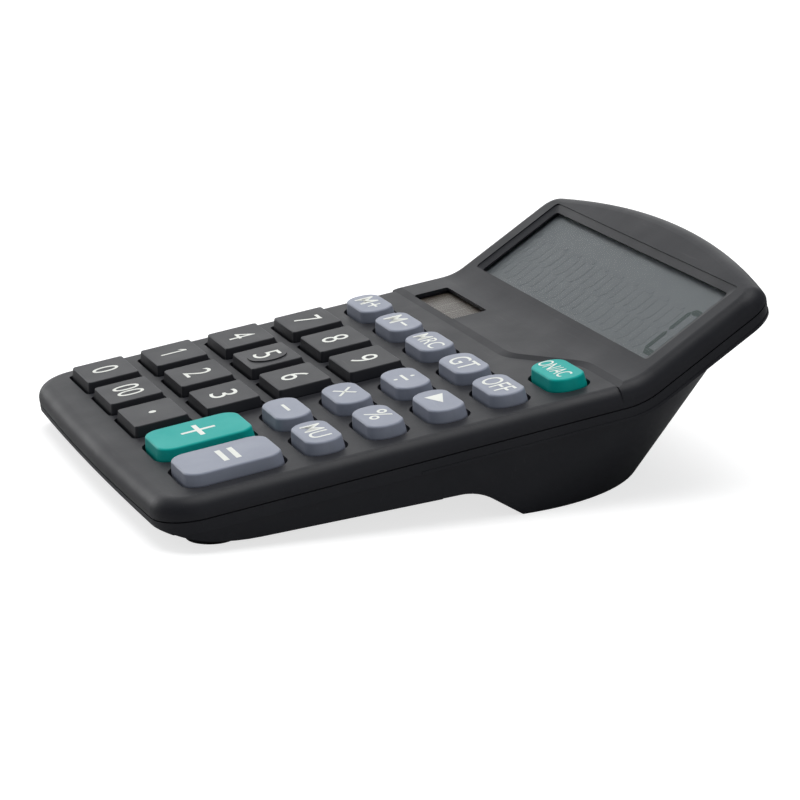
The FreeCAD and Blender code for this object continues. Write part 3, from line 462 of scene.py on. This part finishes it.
@dataclass(frozen=True)
class ClearFinish:
    """A clear moulded window with faint smears, which lets the lamps through to what lies behind.

    Attributes:
        tint: The colour of the plastic.
        roughness: The roughness of clean and of smeared places.
        ior: The refractive index, low enough to keep the lamps' glare off what lies behind.
        smear_scale: The smears' size, as features per metre.
    """

    tint: Colour
    roughness: Point
    ior: float = 1.015
    smear_scale: float = 1400.0

    def material(self, name: str, effects: EffectLibrary) -> bpy.types.Material:
        """Builds the finish as a node material.

        Args:
            name: The material's name.
            effects: The shared effect groups.

        Returns:
            The new material.
        """
        sheet = MaterialSheet(name)
        shader = sheet.shader
        shader.inputs["Base Color"].default_value = (*self.tint, 1.0)
        shader.inputs["Transmission Weight"].default_value = 1.0
        shader.inputs["IOR"].default_value = self.ior
        grain = sheet.effect(effects.grain, Scale=self.smear_scale)
        sheet.join(sheet.drift(grain.outputs["Tone"], self.roughness), shader.inputs["Roughness"])
        rays = sheet.add("ShaderNodeLightPath")
        through = sheet.add("ShaderNodeBsdfTransparent", {"Color": (*self.tint, 1.0)})
        passing = sheet.math("MAXIMUM", rays.outputs["Is Shadow Ray"], rays.outputs["Is Diffuse Ray"])
        chosen = sheet.choose(passing, shader.outputs[0], through.outputs[0])
        sheet.join(chosen, sheet.tree.nodes["Material Output"].inputs["Surface"])
        return sheet.material


@dataclass(frozen=True)
class BandedFinish:
    """A thin-film cell in strips, parted by fine scribed lines.

    Attributes:
        colour: The film's colour.
        line: The colour of the scribed lines.
        strip: A strip's width in millimetres.
        roughness: The film's roughness at its tone's two ends.
        shade: The share of the colour that the tone drifts towards.
        line_edges: Where in the wave a scribed line starts and is full.
        grain_scale: The grain's size, as features per metre.
        wave_phase: The wave's phase in radians, for each metre at scale 1.
    """

    colour: Colour
    line: Colour
    strip: float
    roughness: Point
    shade: float = 0.8
    line_edges: Point = (0.992, 0.998)
    grain_scale: float = 1800.0
    wave_phase: float = 20.0

    def material(self, name: str, effects: EffectLibrary) -> bpy.types.Material:
        """Builds the finish as a node material.

        Args:
            name: The material's name.
            effects: The shared effect groups.

        Returns:
            The new material.
        """
        sheet = MaterialSheet(name)
        grain = sheet.effect(effects.grain, Scale=self.grain_scale)
        bands = sheet.add("ShaderNodeTexWave", {"Scale": 1 / self.strip / MM / self.wave_phase * math.tau})
        sheet.join(sheet.where, bands.inputs["Vector"])
        lines = sheet.ramp(bands.outputs["Fac"], (self.line_edges[0], 0.0), (self.line_edges[1], 1.0))
        shaded = tuple(self.shade * channel for channel in self.colour)
        toned = sheet.blend(grain.outputs["Tone"], self.colour, shaded)
        sheet.join(sheet.blend(lines, toned, self.line), sheet.shader.inputs["Base Color"])
        sheet.join(sheet.drift(grain.outputs["Tone"], self.roughness), sheet.shader.inputs["Roughness"])
        return sheet.material


class Finishes:
    """The finishes by the record's slot, and those of the key print and the display's segments."""

    solids: dict[str, SolidFinish] = {
        "case_plastic": SolidFinish(
            (0.0128, 0.0133, 0.0170), (0.0156, 0.0161, 0.0200), (0.44, 0.52), specular=0.2, dust=0.012),
        "key_black": SolidFinish(
            (0.0145, 0.0152, 0.0195), (0.0180, 0.0186, 0.023), (0.40, 0.47), specular=0.2,
            grain_scale=3200.0, grain_depth=0.006, dust=0.012),
        "key_grey": SolidFinish(
            (0.262, 0.284, 0.352), (0.242, 0.263, 0.328), (0.38, 0.46), specular=0.3,
            grain_scale=3200.0, grain_depth=0.006, wear=0.12, wear_colour=(0.32, 0.345, 0.415)),
        "key_teal": SolidFinish(
            (0.002, 0.395, 0.355), (0.002, 0.365, 0.330), (0.40, 0.48), specular=0.12,
            grain_scale=3200.0, grain_depth=0.006, wear=0.12, wear_colour=(0.01, 0.44, 0.37)),
        "lcd_glass": SolidFinish(
            (0.088, 0.096, 0.102), (0.084, 0.092, 0.098), (0.42, 0.45), specular=0.28,
            grain_scale=5200.0, grain_depth=0.0002, wear=0.0, dust=0.0),
        "lcd_reflector": SolidFinish((0.42, 0.45, 0.42), (0.38, 0.41, 0.38), (0.3, 0.4), metallic=0.6),
        "inner_plastic": SolidFinish((0.52, 0.52, 0.50), (0.47, 0.47, 0.45), (0.45, 0.55)),
        "ribbon_film": SolidFinish((0.30, 0.13, 0.02), (0.26, 0.11, 0.02), (0.25, 0.35), coat=0.4),
        "copper_lead": SolidFinish((0.72, 0.34, 0.18), (0.62, 0.29, 0.15), (0.25, 0.4), metallic=1.0),
        "rubber_mat": SolidFinish((0.30, 0.30, 0.29), (0.27, 0.27, 0.26), (0.6, 0.75), specular=0.3),
        "board_laminate": SolidFinish((0.012, 0.085, 0.025), (0.010, 0.070, 0.020), (0.25, 0.38), coat=0.5),
        "chip_resin": SolidFinish((0.010, 0.010, 0.011), (0.013, 0.013, 0.014), (0.2, 0.35)),
        "component_ceramic": SolidFinish((0.28, 0.17, 0.08), (0.25, 0.15, 0.07), (0.35, 0.45)),
        "screw_steel": SolidFinish((0.42, 0.42, 0.42), (0.36, 0.36, 0.36), (0.28, 0.42), metallic=1.0),
        "cell_can": SolidFinish((0.35, 0.37, 0.41), (0.30, 0.32, 0.36), (0.25, 0.38), metallic=1.0),
        "contact_steel": SolidFinish((0.62, 0.60, 0.57), (0.55, 0.53, 0.50), (0.2, 0.35), metallic=1.0),
        "foot_rubber": SolidFinish(
            (0.012, 0.012, 0.012), (0.016, 0.016, 0.016), (0.7, 0.85), specular=0.25, grain_depth=0.02),
    }
    clear = ClearFinish((0.97, 0.98, 0.98), (0.0, 0.01))
    solar = BandedFinish((0.055, 0.044, 0.034), (0.15, 0.14, 0.12), 6.75, (0.34, 0.42))
    print_white = SolidFinish(
        (0.80, 0.81, 0.76), (0.75, 0.76, 0.71), (0.45, 0.55), grain_scale=4200.0, grain_depth=0.004,
        wear=0.05, wear_colour=(0.62, 0.63, 0.6))
    figure_lit = SolidFinish(
        (0.016, 0.028, 0.026), (0.018, 0.031, 0.029), (0.42, 0.45), specular=0.2,
        grain_depth=0.0002, wear=0.0, dust=0.0)
    figure_faint = SolidFinish(
        (0.078, 0.086, 0.092), (0.081, 0.089, 0.095), (0.42, 0.45), specular=0.28,
        grain_depth=0.0002, wear=0.0, dust=0.0)

    def __init__(self) -> None:
        """Builds every material once."""
        effects = EffectLibrary()
        slots = {**self.solids, "clear_window": self.clear, "solar_glass": self.solar}
        self.by_slot = {slot: finish.material("finish_" + slot, effects) for slot, finish in slots.items()}
        self.marking = self.print_white.material("finish_white_print", effects)
        self.lit = self.figure_lit.material("finish_lit_figure", effects)
        self.faint = self.figure_faint.material("finish_faint_figure", effects)

    def dress_nodes(self) -> None:
        """Gives every CAD node the finish of its slot."""
        for name, node in FRAME["nodes"].items():
            for index, packed in enumerate(node.data.materials):
                node.material_slots[index].material = self.by_slot[packed.name.split(".")[0]]
            LOG.info("node %s dressed", name)


class MeshShop:
    """Makes flat printed and moulded pieces, with their place in their mesh."""

    @staticmethod
    def prisms(name: str, outlines: list[Outline], low: float, high: float) -> bpy.types.Mesh:
        """Builds closed prisms on flat outlines.

        Args:
            name: The mesh's name.
            outlines: Corners of each outline in millimetres, counter-clockwise.
            low: The prisms' lower height in millimetres.
            high: The prisms' upper height in millimetres.

        Returns:
            The new mesh, in metres.
        """
        shape = bmesh.new()
        for outline in outlines:
            floor = [shape.verts.new((x * MM, y * MM, low * MM)) for x, y in outline]
            roof = [shape.verts.new((x * MM, y * MM, high * MM)) for x, y in outline]
            shape.faces.new(list(reversed(floor)))
            shape.faces.new(roof)
            for index in range(len(outline)):
                after = (index + 1) % len(outline)
                shape.faces.new((floor[index], floor[after], roof[after], roof[index]))
        mesh = bpy.data.meshes.new(name)
        shape.to_mesh(mesh)
        shape.free()
        return mesh

    @staticmethod
    def words(
        name: str, text: str, width: float, height: float, thin: float, thickness: float,
    ) -> bpy.types.Mesh:
        """Builds printed characters, centred, with a set width and height.

        Args:
            name: The mesh's name.
            text: The characters.
            width: Their width in millimetres.
            height: Their height in millimetres.
            thin: How far the strokes' edges are drawn in, as a share of the type size.
            thickness: The print's thickness in millimetres.

        Returns:
            The new mesh, in metres.
        """
        curve = bpy.data.curves.new(name, "FONT")
        curve.body = text
        curve.size = 1.0
        curve.extrude = curve.size / 2
        curve.offset = -thin
        curve.resolution_u = TYPE_CURVE_STEPS
        piece = bpy.data.objects.new(name, curve)
        bpy.context.scene.collection.objects.link(piece)
        graph = bpy.context.evaluated_depsgraph_get()
        mesh = bpy.data.meshes.new_from_object(piece.evaluated_get(graph))
        bpy.data.objects.remove(piece)
        bpy.data.curves.remove(curve)
        low, high = opposite_corners([vertex.co for vertex in mesh.vertices])
        size = high - low
        middle = (low + high) / 2
        middle.z = low.z
        fit = Matrix.Diagonal((width * MM / size.x, height * MM / size.y, thickness * MM / size.z, 1.0))
        mesh.transform(fit @ Matrix.Translation(-middle))
        return mesh

    @staticmethod
    def finish_piece(
        name: str, mesh: bpy.types.Mesh, place: Matrix, material: bpy.types.Material, body: str, slot: str,
    ) -> None:
        """Puts a mesh in its place and lets it ride on a body.

        Args:
            name: The piece's name.
            mesh: The mesh, at the origin.
            place: The piece's place in the frame.
            material: Its finish.
            body: The CAD body that it rides on.
            slot: A slot name of the record; not used.
        """
        mesh.transform(place)
        mesh.name = name
        mesh.materials.clear()
        mesh.materials.append(material)
        piece = bpy.data.objects.new(name, mesh)
        bpy.context.scene.collection.objects.link(piece)
        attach(piece, body)
        LOG.info("piece %s rides on %s", name, body)


class RowTree:
    """A Geometry Nodes tree that repeats a mesh along a straight row."""

    def __init__(self) -> None:
        """Builds the tree, with named inputs for the row."""
        self.tree = bpy.data.node_groups.new("row_of_pieces", "GeometryNodeTree")
        face = self.tree.interface
        face.new_socket("Geometry", in_out="INPUT", socket_type="NodeSocketGeometry")
        self.count = face.new_socket("Count", in_out="INPUT", socket_type="NodeSocketInt").identifier
        self.step = face.new_socket("Step", in_out="INPUT", socket_type="NodeSocketVector").identifier
        self.finish = face.new_socket("Finish", in_out="INPUT", socket_type="NodeSocketMaterial").identifier
        face.new_socket("Geometry", in_out="OUTPUT", socket_type="NodeSocketGeometry")
        sheet = NodeSheet(self.tree)
        start = sheet.add("NodeGroupInput")
        line = sheet.add("GeometryNodeMeshLine", mode="OFFSET")
        copies = sheet.add("GeometryNodeInstanceOnPoints")
        real = sheet.add("GeometryNodeRealizeInstances")
        dressed = sheet.add("GeometryNodeSetMaterial")
        end = sheet.add("NodeGroupOutput")
        sheet.join(start.outputs["Count"], line.inputs["Count"])
        sheet.join(start.outputs["Step"], line.inputs["Offset"])
        sheet.join(line.outputs["Mesh"], copies.inputs["Points"])
        sheet.join(start.outputs["Geometry"], copies.inputs["Instance"])
        sheet.join(copies.outputs["Instances"], real.inputs["Geometry"])
        sheet.join(real.outputs["Geometry"], dressed.inputs["Geometry"])
        sheet.join(start.outputs["Finish"], dressed.inputs["Material"])
        sheet.join(dressed.outputs["Geometry"], end.inputs["Geometry"])

    def repeat(
        self, mesh: bpy.types.Mesh, count: int, step: Point, finish: bpy.types.Material,
    ) -> bpy.types.Mesh:
        """Repeats a mesh.

        Args:
            mesh: The mesh of one piece, at the row's start.
            count: How many pieces the row has.
            step: The step from one to the next, in millimetres.
            finish: Their material.

        Returns:
            One plain mesh of the whole row.
        """
        holder = bpy.data.objects.new("row_holder", mesh)
        bpy.context.scene.collection.objects.link(holder)
        row = holder.modifiers.new("row", "NODES")
        row.node_group = self.tree
        row[self.count] = count
        row[self.step] = (step[0] * MM, step[1] * MM, 0.0)
        row[self.finish] = finish
        graph = bpy.context.evaluated_depsgraph_get()
        made = bpy.data.meshes.new_from_object(holder.evaluated_get(graph))
        holder.modifiers.remove(row)
        bpy.data.objects.remove(holder)
        return made


class Sign(Enum):
    """The drawn signs on the keys."""

    DOT = "dot"
    PLUS = "plus"
    EQUALS = "equals"
    MINUS = "minus"
    TIMES = "times"
    DIVIDE = "divide"
    FORWARD = "forward"
    ONE = "one"


def bar(width: float, height: float, x: float = 0.0, y: float = 0.0, degrees: float = 0.0) -> Outline:
    """Draws an upright or turned bar.

    Args:
        width: Its width in millimetres.
        height: Its height in millimetres.
        x: Its middle's place across.
        y: Its middle's place along.
        degrees: Its turn about its middle.

    Returns:
        The bar's corners.
    """
    cosine = math.cos(math.radians(degrees)) / 2
    sine = math.sin(math.radians(degrees)) / 2
    corners = [(-width, -height), (width, -height), (width, height), (-width, height)]
    return [(x + (a * cosine - b * sine), y + (a * sine + b * cosine)) for a, b in corners]


def disc(radius: float, x: float = 0.0, y: float = 0.0) -> Outline:
    """Draws a round dot.

    Args:
        radius: Its radius in millimetres.
        x: Its middle's place across.
        y: Its middle's place along.

    Returns:
        Points round the dot.
    """
    turns = [math.tau * step / DOT_CORNERS for step in range(DOT_CORNERS)]
    return [(x + radius * math.cos(turn), y + radius * math.sin(turn)) for turn in turns]


def sign_outlines(sign: Sign, width: float, height: float, stroke: float) -> list[Outline]:
    """Draws a sign, centred.

    Args:
        sign: Which sign.
        width: Its width in millimetres.
        height: Its height in millimetres.
        stroke: The width of its strokes in millimetres.

    Returns:
        The outlines of its separate parts.
    """
    half = height / 2
    arm = (height - stroke) / 2
    reach = (arm + stroke) / 2
    stem = -stroke / 2
    flag = stem + stroke - width
    slant = math.degrees(math.atan2(height, width))
    length = math.hypot(width, height)
    dot = DIVIDE_DOT_SHARE * stroke
    rung = half - stroke / 2
    parts = {
        Sign.DOT: [disc(width / 2)],
        Sign.PLUS: [bar(width, stroke), bar(stroke, arm, 0.0, reach), bar(stroke, arm, 0.0, -reach)],
        Sign.EQUALS: [bar(width, stroke, 0.0, rung), bar(width, stroke, 0.0, -rung)],
        Sign.MINUS: [bar(width, stroke)],
        Sign.TIMES: [bar(length, stroke, 0.0, 0.0, slant), bar(length, stroke, 0.0, 0.0, -slant)],
        Sign.DIVIDE: [bar(width, stroke), disc(dot, 0.0, half), disc(dot, 0.0, -half)],
        Sign.FORWARD: [[(-width / 2, -half), (width / 2, 0.0), (-width / 2, half)]],
        Sign.ONE: [[
            (stem, -half), (stem + stroke, -half), (stem + stroke, half), (stem, half),
            (flag, half - width + stroke), (flag, half - width), (stem, half - stroke),
        ]],
    }
    return parts[sign]


@dataclass(frozen=True)
class KeyMark:
    """What is printed on one key.

    Attributes:
        key: The key's CAD node.
        mark: The characters, or a drawn sign.
        width: The print's width in millimetres.
        height: The print's height in millimetres.
        shift: How far it is off the key's middle, in millimetres.
        stroke: The stroke width of a drawn sign.
    """

    key: str
    mark: str | Sign
    width: float
    height: float
    shift: Point = (0.0, 0.0)
    stroke: float = 1.0


@dataclass
class KeyMarkings:
    """The white print on the key tops.

    Attributes:
        thickness: The print's thickness in millimetres.
        sunk: How far the print reaches into the key, in millimetres.
        digit_width: The width of one figure in millimetres.
        digit_height: The height of the figures in millimetres.
        thin: How far the strokes of the figures are drawn in.
        bold: How far the strokes of longer words are drawn out.
        marks: What the other keys carry.
    """

    thickness: float = 0.05
    sunk: float = 0.02
    digit_width: float = 4.3
    digit_height: float = 6.3
    thin: float = 0.004
    bold: float = 0.002
    marks: list[KeyMark] = field(default_factory=lambda: [
        KeyMark("key_1", Sign.ONE, 1.8, 6.3, (0.3, 0.0), 0.72),
        KeyMark("key_00", "00", 8.6, 6.3),
        KeyMark("key_point", Sign.DOT, 1.7, 1.7),
        KeyMark("key_plus", Sign.PLUS, 8.0, 7.7, (-0.2, 0.1), 1.1),
        KeyMark("key_equals", Sign.EQUALS, 8.05, 3.9, (0.0, 0.55), 1.2),
        KeyMark("key_minus", Sign.MINUS, 5.4, 0.7, (-0.2, 0.0), 0.7),
        KeyMark("key_multiply", Sign.TIMES, 4.8, 3.9, (-0.9, 0.0), 0.65),
        KeyMark("key_divide", Sign.DIVIDE, 4.7, 4.0, (-0.1, -0.2), 0.65),
        KeyMark("key_percent", "%", 6.0, 5.0, (-0.6, 0.4)),
        KeyMark("key_step_back", Sign.FORWARD, 6.2, 4.3, (-0.65, 0.3)),
        KeyMark("key_mark_up", "MU", 9.6, 4.5, (-0.3, 0.0)),
        KeyMark("key_memory_plus", "M+", 9.8, 4.6, (-0.2, 0.2)),
        KeyMark("key_memory_minus", "M−", 10.0, 4.6, (0.0, 0.2)),
        KeyMark("key_memory_recall", "MRC", 12.3, 3.9),
        KeyMark("key_grand_total", "GT", 9.6, 4.9),
        KeyMark("key_off", "OFF", 11.3, 4.7),
        KeyMark("key_on", "ON/AC", 13.0, 3.6, (-1.0, -0.2)),
    ])

    def all_marks(self) -> list[KeyMark]:
        """Returns the marks of the figures set in type and of the other keys."""
        in_type = (0, *range(2, 10))
        figures = [KeyMark(f"key_{n}", str(n), self.digit_width, self.digit_height) for n in in_type]
        return figures + self.marks

    def build(self, finishes: Finishes) -> None:
        """Prints every key.

        Args:
            finishes: The object's finishes.
        """
        for mark in self.all_marks():
            name = "print_" + mark.key
            if isinstance(mark.mark, Sign):
                outlines = sign_outlines(mark.mark, mark.width, mark.height, mark.stroke)
                mesh = MeshShop.prisms(name, outlines, 0.0, self.thickness)
            else:
                thin = self.thin if mark.mark.isdigit() else -self.bold
                mesh = MeshShop.words(name, mark.mark, mark.width, mark.height, thin, self.thickness)
            low, high = DECK.extent(mark.key)
            middle = (low + high) / 2
            place = DECK.place(
                middle.x + mark.shift[0] * MM, middle.y + mark.shift[1] * MM, high.z - self.sunk * MM)
            slot = FRAME["nodes"][mark.key].data.materials[0].name.removeprefix("finish_")
            MeshShop.finish_piece(name, mesh, place, finishes.marking, mark.key + "_cap", slot)


@dataclass(frozen=True)
class FrontFilm:
    """A thin film bonded to the front of a glass, under its clear window.

    Attributes:
        name: The film's name.
        node: The glass's CAD node.
        plane: The plane that the glass lies in.
        slot: The record's material slot that it takes its finish from.
        margin: How far it stays inside the glass's edges, in millimetres.
        thickness: Its thickness in millimetres.
    """

    name: str
    node: str
    plane: TiltedPlane
    slot: str
    margin: float = 0.2
    thickness: float = 0.04

    def build(self, finishes: Finishes) -> None:
        """Lays the film on the glass.

        Args:
            finishes: The object's finishes.
        """
        low, high = self.plane.extent(self.node)
        middle = (low + high) / 2
        size = (high - low) / MM
        outline = bar(size.x - 2 * self.margin, size.y - 2 * self.margin)
        mesh = MeshShop.prisms(self.name, [outline], 0.0, self.thickness)
        place = self.plane.place(middle.x, middle.y, high.z)
        MeshShop.finish_piece(self.name, mesh, place, finishes.by_slot[self.slot], "case", self.slot)


@dataclass
class DisplayFigures:
    """The display's segments: a lit nought at the right, and the faint figures of the other places.

    Attributes:
        places: How many figures the display has.
        pitch: The distance from one figure to the next, in millimetres.
        width: A figure's width in millimetres.
        height: A figure's height in millimetres.
        stroke: A segment's width in millimetres.
        gap: The gap between segments in millimetres.
        right_edge: The distance from the glass's right edge to the last figure, in millimetres.
        front_edge: The distance from the glass's front edge to the figures, in millimetres.
        thickness: The segments' thickness in millimetres.
        lift: How far they lie above the glass, on its film, in millimetres.
    """

    places: int = 12
    pitch: float = 8.45
    width: float = 6.6
    height: float = 15.5
    stroke: float = 1.7
    gap: float = 0.3
    right_edge: float = 3.6
    front_edge: float = 2.5
    thickness: float = 0.03
    lift: float = 0.035

    def segment(self, x: float, y: float, length: float, upright: bool) -> Outline:
        """Draws one segment with pointed ends.

        Args:
            x: Its middle's place across, in millimetres.
            y: Its middle's place along, in millimetres.
            length: Its length from point to point.
            upright: Whether it stands along the figure's height.

        Returns:
            The segment's six corners.
        """
        half = length / 2
        side = self.stroke / 2
        lying = [
            (-half, 0.0), (side - half, -side), (half - side, -side),
            (half, 0.0), (half - side, side), (side - half, side),
        ]
        return [(x - b, y + a) if upright else (x + a, y + b) for a, b in lying]

    def figure(self, middle_bar: bool) -> list[Outline]:
        """Draws an eight, or a nought without the middle bar.

        Args:
            middle_bar: Whether the middle bar is drawn.

        Returns:
            The outlines of the segments, from the figure's lower left corner.
        """
        side = self.stroke / 2
        across = self.width - self.stroke - self.gap
        along = (self.height - self.stroke) / 2 - self.gap
        lower = side + (self.height - self.stroke) / 4
        upper = self.height - lower
        levels = [side, self.height - side] + ([self.height / 2] if middle_bar else [])
        drawn = [self.segment(self.width / 2, level, across, False) for level in levels]
        for x in (side, self.width - side):
            drawn += [self.segment(x, y, along, True) for y in (lower, upper)]
        return drawn

    def build(self, finishes: Finishes, rows: RowTree) -> None:
        """Lays the segments on the display's front glass.

        Args:
            finishes: The object's finishes.
            rows: The tree that repeats the faint figures.
        """
        low, high = HEAD.extent("lcd_front_glass")
        right = high.x - (self.right_edge + self.width) * MM
        front = low.y + self.front_edge * MM
        above = high.z + self.lift * MM
        nought = MeshShop.prisms("nought", self.figure(False), 0.0, self.thickness)
        MeshShop.finish_piece(
            "display_nought", nought, HEAD.place(right, front, above), finishes.lit, "case", "lcd_glass")
        eight = MeshShop.prisms("eight", self.figure(True), 0.0, self.thickness)
        row = rows.repeat(eight, self.places - 1, (-self.pitch, 0.0), finishes.faint)
        start = HEAD.place(right - self.pitch * MM, front, above)
        MeshShop.finish_piece("display_faint_figures", row, start, finishes.faint, "case", "lcd_glass")


@dataclass
class DoorGrip:
    """The raised grip ribs and the opening arrow under the battery door.

    Attributes:
        ribs: How many ribs there are.
        width: A rib's length across the door, in millimetres.
        depth: A rib's depth in millimetres.
        pitch: The distance from rib to rib in millimetres.
        rise: How far ribs and arrow stand proud, in millimetres.
        sunk: How far ribs and arrow reach into the door, in millimetres.
        margin: The distance from the door's rear edge to the last rib, in millimetres.
        arrow: The arrow's length in millimetres.
        arrow_gap: The gap between the ribs and the arrow's tip, in millimetres.
    """

    ribs: int = 6
    width: float = 16.0
    depth: float = 0.6
    pitch: float = 1.4
    rise: float = 0.12
    sunk: float = 0.05
    margin: float = 4.0
    arrow: float = 5.0
    arrow_gap: float = 1.0

    def build(self, finishes: Finishes, rows: RowTree) -> None:
        """Puts ribs and arrow on the door's underside.

        Args:
            finishes: The object's finishes.
            rows: The tree that repeats the ribs.
        """
        low, high = TABLE.extent("battery_door")
        plastic = finishes.by_slot["case_plastic"]
        middle = (low.x + high.x) / 2
        rib = MeshShop.prisms("rib", [bar(self.width, self.depth)], -self.rise, self.sunk)
        row = rows.repeat(rib, self.ribs, (0.0, -self.pitch), plastic)
        rear = high.y - self.margin * MM
        MeshShop.finish_piece(
            "door_grip_ribs", row, TABLE.place(middle, rear, low.z), plastic, "door", "case_plastic")
        tip = [(-self.arrow / 2, 0.0), (self.arrow / 2, 0.0), (0.0, self.arrow)]
        arrow = MeshShop.prisms("arrow", [tip], -self.rise, self.sunk)
        front = rear - (self.ribs * self.pitch + self.arrow + self.arrow_gap) * MM
        MeshShop.finish_piece(
            "door_arrow", arrow, TABLE.place(middle, front, low.z), plastic, "door", "case_plastic")


@dataclass(frozen=True)
class SoftBox:
    """A large soft lamp that faces the object.

    Attributes:
        name: The lamp's name.
        place: Its middle, in metres.
        size: Its width and height in metres.
        power: Its power in watts.
    """

    name: str
    place: Triple
    size: Point
    power: float

    def build(self) -> None:
        """Adds the lamp."""
        lamp = bpy.data.lights.new(self.name, "AREA")
        lamp.shape = "RECTANGLE"
        lamp.size, lamp.size_y = self.size
        lamp.energy = self.power
        stand = bpy.data.objects.new(self.name, lamp)
        turn = Vector(self.place).to_track_quat("Z", "Y")
        stand.matrix_world = Matrix.Translation(self.place) @ turn.to_matrix().to_4x4()
        bpy.context.scene.collection.objects.link(stand)


@dataclass
class Studio:
    """A pale floor, soft lamps and the camera at the photograph's angle.

    Attributes:
        eye: The camera's place in metres.
        forward: The direction that it looks in.
        up: The direction of the picture's upper edge.
        lens: Its focal length in millimetres.
        floor_side: The floor's side in metres.
        floor_depth: The floor's thickness in millimetres.
        floor_grey: The floor's brightness under the lamps.
        floor_lift: How much the floor is lifted towards white.
        ambient: The brightness of the room round the object.
        ambient_colour: The colour of the room's light.
        lamps: The soft lamps.
    """

    eye: Triple = (0.65779, -0.22922, 0.19411)
    forward: Triple = (-0.91315, 0.32007, -0.25239)
    up: Triple = (-0.2341, 0.09508, 0.96755)
    lens: float = 141.274
    floor_side: float = 8.0
    floor_depth: float = 10.0
    floor_grey: float = 0.5
    floor_lift: float = 0.72
    ambient: float = 0.25
    ambient_colour: Colour = (0.93, 0.97, 1.0)
    lamps: tuple[SoftBox, ...] = (
        SoftBox("overhead_lamp", (-0.15, 0.1, 1.5), (1.3, 1.3), 20.0),
        SoftBox("rear_left_lamp", (-1.55, 0.16, 0.55), (2.4, 1.0), 9.2),
        SoftBox("front_left_lamp", (-1.35, -0.85, 0.42), (0.9, 0.7), 4.2),
        SoftBox("right_fill", (1.3, 0.25, 0.35), (1.2, 0.8), 1.6),
    )

    def build(self) -> None:
        """Builds the floor, the lamps, the room's light and the camera."""
        bpy.context.scene.view_settings.view_transform = "Standard"
        self._floor()
        self._room()
        for lamp in self.lamps:
            lamp.build()
        self._camera()

    def _floor(self) -> None:
        """Lays the pale floor, lifted to white where the camera sees it lit."""
        side = self.floor_side / MM
        mesh = MeshShop.prisms("floor", [bar(side, side)], -self.floor_depth, 0.0)
        paint = bpy.data.materials.new("pale_floor")
        paint.use_nodes = True
        sheet = NodeSheet(paint.node_tree)
        paint.node_tree.nodes.remove(paint.node_tree.nodes["Principled BSDF"])
        matt = sheet.add("ShaderNodeBsdfDiffuse", {"Color": (*[self.floor_grey] * 3, 1.0)})
        lift = sheet.add("ShaderNodeEmission", {"Color": WHITE, "Strength": self.floor_lift})
        seen = sheet.add("ShaderNodeAddShader")
        rays = sheet.add("ShaderNodeLightPath")
        sheet.join(matt.outputs[0], seen.inputs[0])
        sheet.join(lift.outputs[0], seen.inputs[1])
        chosen = sheet.choose(rays.outputs["Is Camera Ray"], matt.outputs[0], seen.outputs[0])
        sheet.join(chosen, sheet.tree.nodes["Material Output"].inputs["Surface"])
        mesh.materials.append(paint)
        floor = bpy.data.objects.new("floor", mesh)
        bpy.context.scene.collection.objects.link(floor)

    def _room(self) -> None:
        """Sets the room: white where the camera looks past the floor, and dim elsewhere."""
        room = bpy.data.worlds.new("pale_room")
        room.use_nodes = True
        sheet = NodeSheet(room.node_tree)
        dim = room.node_tree.nodes["Background"]
        dim.inputs["Color"].default_value = (*self.ambient_colour, 1.0)
        dim.inputs["Strength"].default_value = self.ambient
        white = sheet.add("ShaderNodeBackground", {"Color": WHITE, "Strength": 1.0})
        rays = sheet.add("ShaderNodeLightPath")
        chosen = sheet.choose(rays.outputs["Is Camera Ray"], dim.outputs[0], white.outputs[0])
        sheet.join(chosen, sheet.tree.nodes["World Output"].inputs["Surface"])
        bpy.context.scene.world = room

    def _camera(self) -> None:
        """Sets up the camera."""
        back = -Vector(self.forward).normalized()
        right = Vector(self.up).cross(back).normalized()
        up = back.cross(right)
        lens = bpy.data.cameras.new("camera")
        lens.lens = self.lens
        lens.sensor_width = SENSOR_WIDTH
        camera = bpy.data.objects.new("camera", lens)
        turn = Matrix((right, up, back)).transposed()
        camera.matrix_world = Matrix.Translation(self.eye) @ turn.to_4x4()
        bpy.context.scene.collection.objects.link(camera)
        bpy.context.scene.camera = camera


def main() -> None:
    """Builds the calculator's looks and the studio, and reports each piece."""
    logging.basicConfig(level=logging.INFO, format="%(name)s: %(message)s")
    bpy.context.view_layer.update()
    finishes = Finishes()
    finishes.dress_nodes()
    rows = RowTree()
    KeyMarkings().build(finishes)
    FrontFilm("display_film", "lcd_front_glass", HEAD, "lcd_glass").build(finishes)
    FrontFilm("solar_film", "solar_cell", DECK, "solar_glass").build(finishes)
    DisplayFigures().build(finishes, rows)
    DoorGrip().build(finishes, rows)
    Studio().build()


if __name__ == "__main__":
    main()
